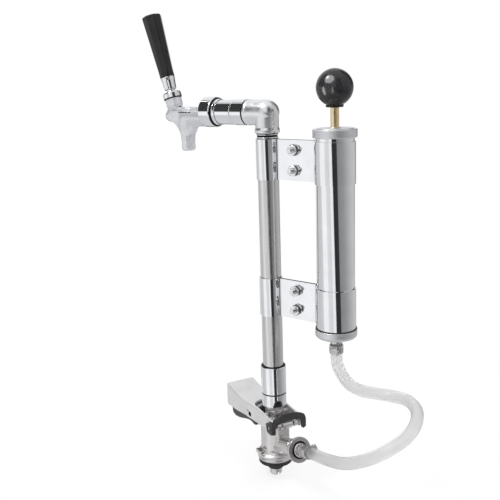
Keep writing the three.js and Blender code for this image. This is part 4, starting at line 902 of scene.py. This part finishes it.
def make_tube():
    piece("tower_tube", tube(10.1, 11.1, 88.4, 361.1, 128), "brushed", "tower")
    outline = [
        (10.7, 68), (13.0, 68, 0.3), (13.5, 68.6, 0.3), (13.5, 81.7, 0.3), (13.1, 82.3, 0.3),
        (8.3, 82.3), (8.3, 78.5), (10.7, 78.5),
    ]
    slots = [moved(box(12.6, 15, -1.5, 1.5, 66, 69.2), spin(a)) for a in (-22, 98, 218)]
    nut = combined([lathe(outline, 128)], slots)
    finished(nut, "coupling_nut", "tube_chrome", "tower")
    turned("tube_socket", "tube_chrome", "tower", WORLD, 128, [
        (5.5, 76.2), (10.3, 76.2), (10.3, 78.2), (8.0, 78.2), (8.0, 82.6), (13.2, 82.6, 0.3),
        (13.6, 83.1, 0.3), (13.6, 113.4, 0.5), (12.9, 114.4, 0.4), (11.4, 114.4, 0.2),
        (11.4, 88.1), (5.5, 88.1),
    ])
    turned("elbow_nipple", "tube_chrome", "tower", WORLD, 128, [
        (7.5, 345.4), (9.6, 345.4), (9.6, 361.4), (11.2, 361.4, 0.3), (11.2, 362.7, 0.2),
        (10.6, 363.2, 0.2), (10.6, 364.6, 0.2), (11.2, 365.1, 0.2), (11.2, 366.4, 0.3),
        (9.6, 366.4), (9.6, 377.4), (7.5, 377.4),
    ])


def make_elbow():
    z = SHANK_Z
    base = 366.7
    leg = lathe([
        (0, base), (12.7, base, 0.3), (13.0, base + 0.5, 0.5), (13.0, base + 3.6, 0.8),
        (12.2, base + 5.2, 0.8), (12.3, z), (0, z),
    ])
    arm = lathe([
        (0, -23.3), (13.1, -23.3, 0.4), (13.5, -22.8, 0.4), (13.5, -20.4, 0.5),
        (13.1, -19.8, 0.3), (13.1, -12.4, 2), (13.0, 0), (0, 0),
    ])
    cuts = [
        rod(9.9, base - 1, base + 12, 72),
        rod(7.5, base, z + 1, 72),
        rod_x(9.9, -24.3, -11.3, 72, z),
        rod_x(7.5, -23.3, 5.5, 72, z),
    ]
    body = combined([leg, moved(arm, FAUCET @ ALONG_X), sphere(13.0, 0, 0, z, 72)], cuts)
    softened(body, 0.5, 6)
    finished(body, "elbow", "cast_chrome", "tower", crease=50)


def make_shank():
    along = FAUCET @ ALONG_X
    turned("shank_collar", "line_chrome", "tower", along, 128, [
        (9.9, -23.6), (12.9, -23.6, 0.3), (13.3, -24.1, 0.3), (13.3, -39.0, 0.3),
        (12.8, -39.6, 0.2), (9.9, -39.6),
    ])
    turned("faucet_shank", "chrome", "tower", along, 128, [
        (6.5, -11.8), (9.6, -11.8), (9.6, -39.9), (12.5, -39.9, 0.3), (12.9, -40.4, 0.3),
        (12.9, -66.8), (14, -66.8), (14, -70.9), (9, -70.9), (9, -60.9), (6.5, -60.9),
    ])
    turned("faucet_coupling_nut", "line_chrome", "tower", along, 128, [
        (13.2, -60.2), (13.6, -60.2, 0.2), (13.8, -63.3, 0.8), (15.9, -66.4, 0.3),
        (16, -66.8, 0.2), (16, -80.0, 0.6), (15.0, -81.2, 0.4), (14.3, -81.2),
        (14.3, -66.5), (13.2, -66.5),
    ])
    piece("shank_washer", tube(9.2, 14, -72.4, -71.2), "washer", "tower", along)


# ------------------------------------------------------------------ faucet

NUT_FRONT = -81.2
SPOUT_X = -110.2
NOSE_X = -134.2
SPOUT_LOW = -42.8


def make_faucet_body():
    low = SPOUT_LOW
    local_head = FAUCET.inverted() @ HEAD
    spout_place = shift(SPOUT_X)
    thread_end = moved(lathe([
        (0, -72.7), (14, -72.7), (14, NUT_FRONT), (11.4, NUT_FRONT, 0.5),
        (9.6, NUT_FRONT - 2.2), (0, NUT_FRONT - 2.2),
    ], 72), ALONG_X)
    barrel = rod_x(5.6, NOSE_X, NUT_FRONT + 1)
    bulk = rod_x(9.8, SPOUT_X, NUT_FRONT + 0.5, 72, -6.2)
    nose = sphere(7, NOSE_X, 0, -4.5)
    spout = moved(lathe([
        (0, low), (5.9, low, 0.6), (7.2, low + 0.8, 0.8), (7.9, low + 2.8, 1.2),
        (7.5, low + 8, 3), (8.1, low + 17, 6), (9.6, low + 28, 5), (9.6, -6.2, 3), (5.6, 2),
        (0, 2),
    ], 72), spout_place)
    web = across([
        (-136.2, -2), (-133.2, -10.7), (-126.2, -12.5), (-121.7, -17), (-117.4, -24),
        (-110.2, -30), (-102.4, -24), (-97.4, -16), (-82.2, -14), (-82.2, 2), (-132.2, 2),
    ], 5.6, 1.0)
    flat = moved(
        lathe([(0, -4), (8.6, -4), (8.6, 3.9, 0.6), (7.4, 4.9, 0.5), (0, 4.9)], 64),
        shift(SPOUT_X + 1) @ Matrix.Diagonal((1, 0.72, 1, 1)))
    boss = moved(lathe([
        (0, -3), (7.2, -3), (9.2, 0.6, 1.5), (9.2, 8.7, 0.3), (8.3, 8.7), (8.3, 12), (0, 12),
    ], 72), local_head)
    leg_room = across([(-2, 4), (-2, -9.3), (2.4, -9.3), (9.4, -7.2), (9.3, -4.4), (4.6, 4)], 1.9)
    cuts = [
        rod_x(3.9, -138.1, NUT_FRONT),
        rod_x(5.6, NUT_FRONT - 0.5, -76.3),
        rod_x(9, -77.3, -71.7),
        rod_x(6, SPOUT_X, NUT_FRONT + 0.6, 64, -3),
        moved(rod(5, low - 1, -3), spout_place),
        moved(rod(6.5, 3.5, 30), local_head),
        moved(leg_room, local_head),
    ]
    # a fine line down each side of the spout
    for way in (1, -1):
        line = box(6.8, 9, -0.42, 0.42, low - 1, low + 17)
        cuts.append(moved(line, spout_place @ spin(way * 61)))
    dishes = [sphere(30, SPOUT_X + 9.5, way * 36.2, -26) for way in (1, -1)]
    body = combined([barrel, bulk, nose, spout, web], dishes)
    softened(body, 0.6, 40)
    for shape in (thread_end, flat, boss):
        merged(body, shape, "UNION")
    softened(body, 0.42, 4)
    for shape in cuts:
        merged(body, shape, "DIFFERENCE")
    finished(body, "faucet_body", "soft_chrome", "tower", FAUCET, 42)


HANDLE_FACETS = 8
BALL_Z = 10


def facets(angle, z):
    """Draws the tap handle's round in to eight soft facets above its foot."""
    part = 2 * math.pi / HANDLE_FACETS
    off = ((angle - math.radians(13)) % part) - part / 2
    flat = math.cos(part / 2) / math.cos(off)
    ease = min(1.0, max(0.0, (z - 34.5) / 4))
    return 1 - (1 - flat) * 0.85 * ease


def make_faucet_head():
    turned("faucet_bonnet", "head_chrome", "tower", HEAD, 96, [
        (8.6, 9), (9.95, 9, 0.3), (10.35, 9.4, 0.3), (10.35, 14.4, 0.5), (9.9, 15.4, 0.5),
        (8.6, 16.3, 0.3), (8.2, 16.1, 0.2), (5.8, 13.1), (6.1, 12.3), (8.6, 12.3),
    ])
    tip, tip_r = BALL_Z - 17.196, 1.6
    ball, leg = 6.1, 1.2
    neck = math.acos(leg / ball)
    crown = math.acos(3.6 / ball)
    outline = [
        (0, tip - tip_r), *arc(0, tip, tip_r, -math.pi / 2, math.pi / 4, 8)[1:],
        (leg, tip + tip_r), *arc(0, BALL_Z, ball, -neck, crown, 24), (4.7, 18.8),
        (4.7, 19.25), (3.0, 19.25), (3.0, 44), (0, 44),
    ]
    piece("faucet_lever", lathe(outline, 64, 0), "chrome", "faucet_handle", HEAD)
    turned("handle_ferrule", "chrome", "faucet_handle", HEAD, 96, [
        (3.3, 19.4), (6.2, 19.4, 0.3), (6.6, 19.8, 0.3), (6.75, 21.2, 1), (7.5, 29),
        (8.1, 32.0, 0.6), (8.1, 33), (3.3, 33),
    ])
    low, high = 33.3, 102.6
    outline = [(3.3, low), (7.9, low, 0.3), (8.2, low + 0.6, 0.3)]
    outline += [(8.2 + 2.95 * i / 10, low + 1 + 66 * i / 10, 0) for i in range(1, 11)]
    outline += [(11.1, high - 0.9, 0.5), (10.5, high, 0.6), (6, high + 0.6, 3),
                (0.001, high + 0.8), (0.001, 45), (3.3, 45)]
    handle = lathe(outline, 128, 0.25, facets)
    piece("tap_handle", handle, "gloss_black", "faucet_handle", HEAD, 40)


# ------------------------------------------------------------------ pump

KNOB_R = 18


def make_pump():
    piece("pump_barrel", tube(17.85, 19.05, 168.6, 367.4, 160), "chrome", "tower", PUMP)
    base = 162.0
    turned("pump_bottom_cap", "aluminium", "tower", PUMP, 128, [
        (4.5, base - 3.1), (6.2, base - 3.1, 0.3), (6.2, base, 0.5),
        *arc(17.5, base + 3.8, 3.8, -math.pi / 2, 0, 8), (21.3, 171.0, 0.2),
        (21.0, 171.3, 0.2), (19.35, 171.3), (19.35, 168.3), (4.5, 168.3),
    ])
    piece("bottom_gasket", tube(19.35, 21.0, 171.45, 172.45), "rubber", "tower", PUMP)
    turned("pump_top_cap", "aluminium", "tower", PUMP, 128, [
        (19.35, 364.4), (21.4, 364.4, 0.3), (21.8, 365, 0.4), (21.8, 372.0, 0.4),
        (21.3, 372.5, 0.3), (18.3, 372.5, 0.2), (18.0, 373.3, 0.3), (6.15, 373.3, 0.2),
        (5.75, 373.9, 0.2), (4.45, 373.9, 0.2), (4.45, 363.9), (7.5, 363.9), (7.5, 367.7),
        (19.35, 367.7),
    ])
    turned("pump_rod", "brass", "pump_plunger", PUMP, 72, [
        (0, 170.75), (5.5, 170.75), (5.5, 172.55), (3, 172.55), (3, 187.3), (4.15, 187.3),
        (4.15, 392.8), (3, 392.8), (3, 406), (0, 406),
    ])
    turned("knob_collar", "gloss_black", "pump_plunger", PUMP, 96, [
        (3.15, 393.1), (8.0, 393.1, 0.3), (8.6, 393.7, 0.3), (8.6, 395.4, 0.3),
        (8.3, 395.7, 0.2), (3.15, 395.7),
    ])
    flat_z = 396.0
    centre = flat_z + math.sqrt(KNOB_R**2 - 8.9**2)
    start = math.asin((flat_z - centre) / KNOB_R)
    outline = [
        (3.15, flat_z), *arc(0, centre, KNOB_R, start, math.pi / 2, 48)[:-1],
        (0.001, centre + KNOB_R), (0.001, 406.3), (3.15, 406.3),
    ]
    piece("ball_knob", lathe(outline, 96, 0), "gloss_black", "pump_plunger", PUMP, 50)

    upside_down = PUMP @ shift(0, 0, 158.6) @ spin(180, "X")
    turned("outlet_barb", "nickel", "tower", upside_down, 72, [
        (2.2, -8), (4.2, -8), (4.2, 0), (6, 0, 0.3), (6, 3, 0.3), *barb(3, 14, 3),
    ])
    hose_clamp("hose_clamp_upper", "tower", PUMP @ shift(0, 0, 149.05) @ spin(-70))


# ------------------------------------------------------------------ brackets

SHEET = 0.95
WEB_HALF_GAP = 0.15
TUBE_WRAP, PUMP_WRAP = 11.4, 19.25
TUBE_BEND, PUMP_BEND = 3.2, 6.0
BRACKET_HIGH = 41.6
BOLT_X, BOLT_Z, BOLT_OFF = 34, 20.8, 10.35
BRACKET_FACE = 1.1


def bracket_line(extra, tube_bend, pump_bend):
    """One face of the sheet: round the tube, through the bends, round the barrel."""
    web = WEB_HALF_GAP + extra

    def bend_centre(wrap, bend):
        off = math.sqrt((wrap + extra + bend) ** 2 - (web + bend) ** 2)
        return off, math.atan2(web + bend, off)

    off, slope = bend_centre(TUBE_WRAP, tube_bend)
    points = arc(0, 0, TUBE_WRAP + extra, math.pi, slope, 40)
    points += arc(off, web + tube_bend, tube_bend, slope - math.pi, -math.pi / 2, 10)[1:]
    off, slope = bend_centre(PUMP_WRAP, pump_bend)
    points += arc(PUMP_X - off, web + pump_bend, pump_bend, -math.pi / 2, -slope, 12)[:-1]
    return points + arc(PUMP_X, 0, PUMP_WRAP + extra, math.pi - slope, 0, 56)


def bracket_half(node, z, way):
    """A sheet bent round the tube and the barrel, with eased bends into the web."""
    outer = bracket_line(SHEET, TUBE_BEND, PUMP_BEND)
    inner = bracket_line(0, TUBE_BEND + SHEET, PUMP_BEND + SHEET)
    cuts = [rod_y(3.2, 5, BOLT_X, BOLT_Z + s * BOLT_OFF, 48) for s in (-1, 1)]
    made = combined([slab(outer + inner[::-1], 0, BRACKET_HIGH)], cuts)
    made.data.transform(Matrix.Diagonal((1, way, 1, 1)))
    if way < 0:
        made.data.flip_normals()
    finished(made, node, "sheet_chrome", "tower", shift(0, 0, z), 28)


def hexagon(flats, low, high, chamfer):
    """A hexagon prism with its corners turned off at both ends."""
    reach = flats / math.sqrt(3)
    corners = arc(0, 0, reach, math.pi / 6, math.pi / 6 + 2 * math.pi, 6)[:-1]
    cone = [
        (0, low), (flats / 2 - 0.1, low), (reach + 0.1, low + chamfer),
        (reach + 0.1, high - chamfer), (flats / 2 - 0.1, high), (0, high),
    ]
    return as_shape(merged(slab(corners, low, high), lathe(cone, 72, 0), "INTERSECT"))


def thread(low, high, r, pitch=1.0, depth=0.32):
    outline = [(0, low), (r - depth, low, 0)]
    z = low + 0.3
    while z + pitch < high:
        outline += [(r - depth, z, 0), (r, z + pitch * 0.45, 0), (r, z + pitch * 0.6, 0)]
        z += pitch
    outline += [(r - depth, z, 0), (r - depth, high, 0), (0, high)]
    return lathe(outline, 40, 0)


def make_brackets():
    face = BRACKET_FACE
    bolt_shapes = [thread(-face - 5 - 5.2, face + 1, 2.9), hexagon(10, face, face + 4, 0.7)]
    nut_shapes = [hexagon(10, -face - 5, -face - 0.9, 0.7), rod(6.0, -face - 1.1, -face, 48)]
    nut_cuts = [rod(3.05, -face - 6, -face + 1, 40)]
    for level, z, start in (("lower", 172.6, 31), ("upper", 319.3, 9)):
        for side, way in (("back", 1), ("front", -1)):
            bracket_half(f"{level}_bracket_{side}", z, way)
        for count in (1, 2):
            height = z + BOLT_Z + (count * 2 - 3) * BOLT_OFF
            place = shift(BOLT_X, 0, height) @ ALONG_Y @ spin(17 * count + start)
            for kind, shapes, cuts in (("bolt", bolt_shapes, ()), ("nut", nut_shapes, nut_cuts)):
                made = combined(shapes, cuts)
                finished(made, f"{level}_{kind}_{count}", "bright_steel", "tower", place)


# ------------------------------------------------------------------ hidden pieces

HIDDEN_LOOKS = {
    "rubber": ("probe_upper_seal", "probe_lower_seal", "inlet_check_valve",
               "pump_check_valve", "shaft_washer", "piston_cup"),
    "steel": ("probe_check_ball", "trigger_spring", "faucet_shaft"),
    "washer": ("inlet_washer", "nut_washer"),
    "nylon": ("lever_friction_ring", "piston"),
}


def dress_hidden():
    for look, nodes in HIDDEN_LOOKS.items():
        for node in nodes:
            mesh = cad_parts[node].data
            mesh.materials.clear()
            mesh.materials.append(PAINTS[look].material)


# ------------------------------------------------------------------ studio

WHITE = (1, 1, 1, 1)
CEILING = (0.93, 0.93, 0.935, 1)
UNDER = (0.70, 0.70, 0.71, 1)
ROOM_LIGHT = 0.72
# grey levels at headings in degrees: what a polished upright cylinder mirrors, soft boxes
# with dark flags between them
LOW_RING = [
    (-180, 0.62), (-150, 0.72), (-144, 0.76), (-141, 1.05), (-112, 1.05), (-108, 0.84),
    (-85, 0.78), (-82, 1.0), (-69, 1.0), (-66, 0.03), (-41, 0.04), (-38, 0.27), (-5, 0.34),
    (20, 0.46), (50, 0.58), (80, 0.62), (118, 0.20), (124, 0.04), (138, 0.05), (142, 0.95),
    (180, 0.62),
]
HIGH_RING = [
    (-180, 0.85), (-177.5, 0.85), (-175, 0.04), (-126, 0.05), (-123, 0.92), (-110, 0.90),
    (-106, 0.45), (-98, 0.45), (-94, 0.95), (-52, 0.95), (-46, 0.06), (-14, 0.06),
    (-8, 0.75), (60, 0.60), (66, 0.10), (100, 0.12), (106, 0.95), (168, 0.92), (171, 0.10),
    (175, 0.10), (177.5, 0.85), (180, 0.85),
]


def make_world():
    world = bpy.data.worlds.new("studio")
    scene.world = world
    world.use_nodes = True
    sky = Nodes(world.node_tree)
    sky.tree.nodes.clear()

    def ring(source, levels):
        stops = [((angle + 180) / 360, (v, v, v * 1.004)) for angle, v in levels]
        return sky.ramp(source, stops)

    direction = sky.node("TexCoord").outputs["Generated"]
    x, y, z = sky.node("SeparateXYZ", {0: direction}).outputs
    heading = sky.maths("ARCTAN2", y, x)
    around = sky.maths("ADD", sky.maths("DIVIDE", heading, 2 * math.pi), 0.5)
    # the flags stand aslant, so their images drift across a tall cylinder
    drift = sky.maths("MULTIPLY", sky.maths("ADD", z, 0.2), 0.255)
    low = ring(sky.maths("FRACT", sky.maths("ADD", around, drift)), LOW_RING)
    rings = sky.mixed("RGBA", sky.spread(z, 0, 1, 0.06, 0.12), low, ring(around, HIGH_RING))
    upper = sky.mixed("RGBA", sky.spread(z, 0, 1, 0.80, 0.86), rings, CEILING)
    glossy = sky.mixed("RGBA", sky.spread(z, 0, 1, -0.42, -0.62), upper, UNDER)

    # mirrors see the rings, the camera and the clear hose see white, the rest is soft light
    path = sky.node("LightPath")
    room = sky.node("Background", {"Color": WHITE, "Strength": ROOM_LIGHT}).outputs[0]
    mirrored = sky.node("Background", {"Color": glossy}).outputs[0]
    seen = sky.node("Background", {"Color": WHITE}).outputs[0]
    first = sky.chosen(path.outputs["Is Glossy Ray"], room, mirrored)
    direct = sky.maths(
        "MAXIMUM", path.outputs["Is Camera Ray"], path.outputs["Is Transmission Ray"])
    sky.node("OutputWorld", {0: sky.chosen(direct, first, seen)})


FLOOR_REACH = 3.0
FLOOR_GAP = 0.0002


def make_floor():
    mesh = bpy.data.meshes.new("floor")
    level = cad_bounds[0][2] - FLOOR_GAP
    corners = ((-1, -1), (1, -1), (1, 1), (-1, 1))
    verts = [(x * FLOOR_REACH, y * FLOOR_REACH, level) for x, y in corners]
    mesh.from_pydata(verts, [], [(0, 1, 2, 3)])
    floor = bpy.data.objects.new("floor", mesh)
    scene.collection.objects.link(floor)
    material = bpy.data.materials.new("pale_floor")
    material.use_nodes = True
    paint = Nodes(material.node_tree)
    paint.tree.nodes.clear()
    # the camera sees it fade to white away from the part
    out = paint.vector("LENGTH", paint.node("TexCoord").outputs["Object"])
    fade = paint.spread(out, 0.80, 1.0, 0.05, 0.5)
    share = paint.maths("MULTIPLY", fade, paint.node("LightPath").outputs["Is Camera Ray"])
    diffuse = paint.node("BsdfDiffuse", {"Color": (0.96, 0.96, 0.965, 1)}).outputs[0]
    glow = paint.node("Emission").outputs[0]
    paint.node("OutputMaterial", {0: paint.chosen(share, diffuse, glow)})
    mesh.materials.append(material)
    floor.visible_glossy = False


def area_lamp(name, shape, wide, high, power, place, aim):
    data = bpy.data.lights.new(name, "AREA")
    data.shape = shape
    data.size, data.size_y = wide, high
    data.energy = power
    lamp = bpy.data.objects.new(name, data)
    lamp.location = place
    lamp.rotation_euler = aim.to_track_quat("-Z", "Y").to_euler()
    lamp.visible_transmission = False
    scene.collection.objects.link(lamp)
    return lamp


def make_lamps():
    middle = Vector((0, 0, 0.25))
    for name, place, size, power, seen in (
        ("key", (-0.46, -0.66, 1.60), 0.40, 9.0, True),
        ("fill", (1.4, -0.4, 0.9), 0.9, 9.0, False),
        ("back", (0.2, 1.5, 1.2), 0.9, 6.0, False),
    ):
        aim = middle - Vector(place)
        area_lamp(name, "DISK", size, size, power, place, aim).visible_glossy = seen


GLINT_Z, GLINT_AWAY = 410.3, 0.45


def make_glints():
    """Soft boxes that only the ball knob mirrors: the broad spot and two narrow ones."""
    only = bpy.data.collections.new("ball_only")
    only.objects.link(bpy.data.objects["ball_knob_fine"])
    centre = Vector((PUMP_X, 0, GLINT_Z)) * MM
    for name, way, wide, high, power in (
        ("glint_broad", (-0.131, -0.648, 0.751), 0.44, 0.40, 4.4),
        ("glint_left", (-0.591, -0.762, -0.265), 0.14, 0.36, 1.3),
        ("glint_right", (0.326, -0.916, -0.234), 0.07, 0.34, 0.35),
    ):
        way = Vector(way)
        place = centre + way * GLINT_AWAY
        lamp = area_lamp(name, "ELLIPSE", wide, high, power, place, -way)
        lamp.visible_camera = False
        lamp.light_linking.receiver_collection = only


# ------------------------------------------------------------------ the scene

make_coupler()
make_lever()
make_trigger()
make_clip()
make_trigger_pin()
make_tube()
make_elbow()
make_shank()
make_faucet_body()
make_faucet_head()
make_pump()
make_brackets()
dress_hidden()
make_world()
make_floor()
make_lamps()
make_glints()
scene.view_settings.view_transform = "Standard"

bpy.context.view_layer.update()
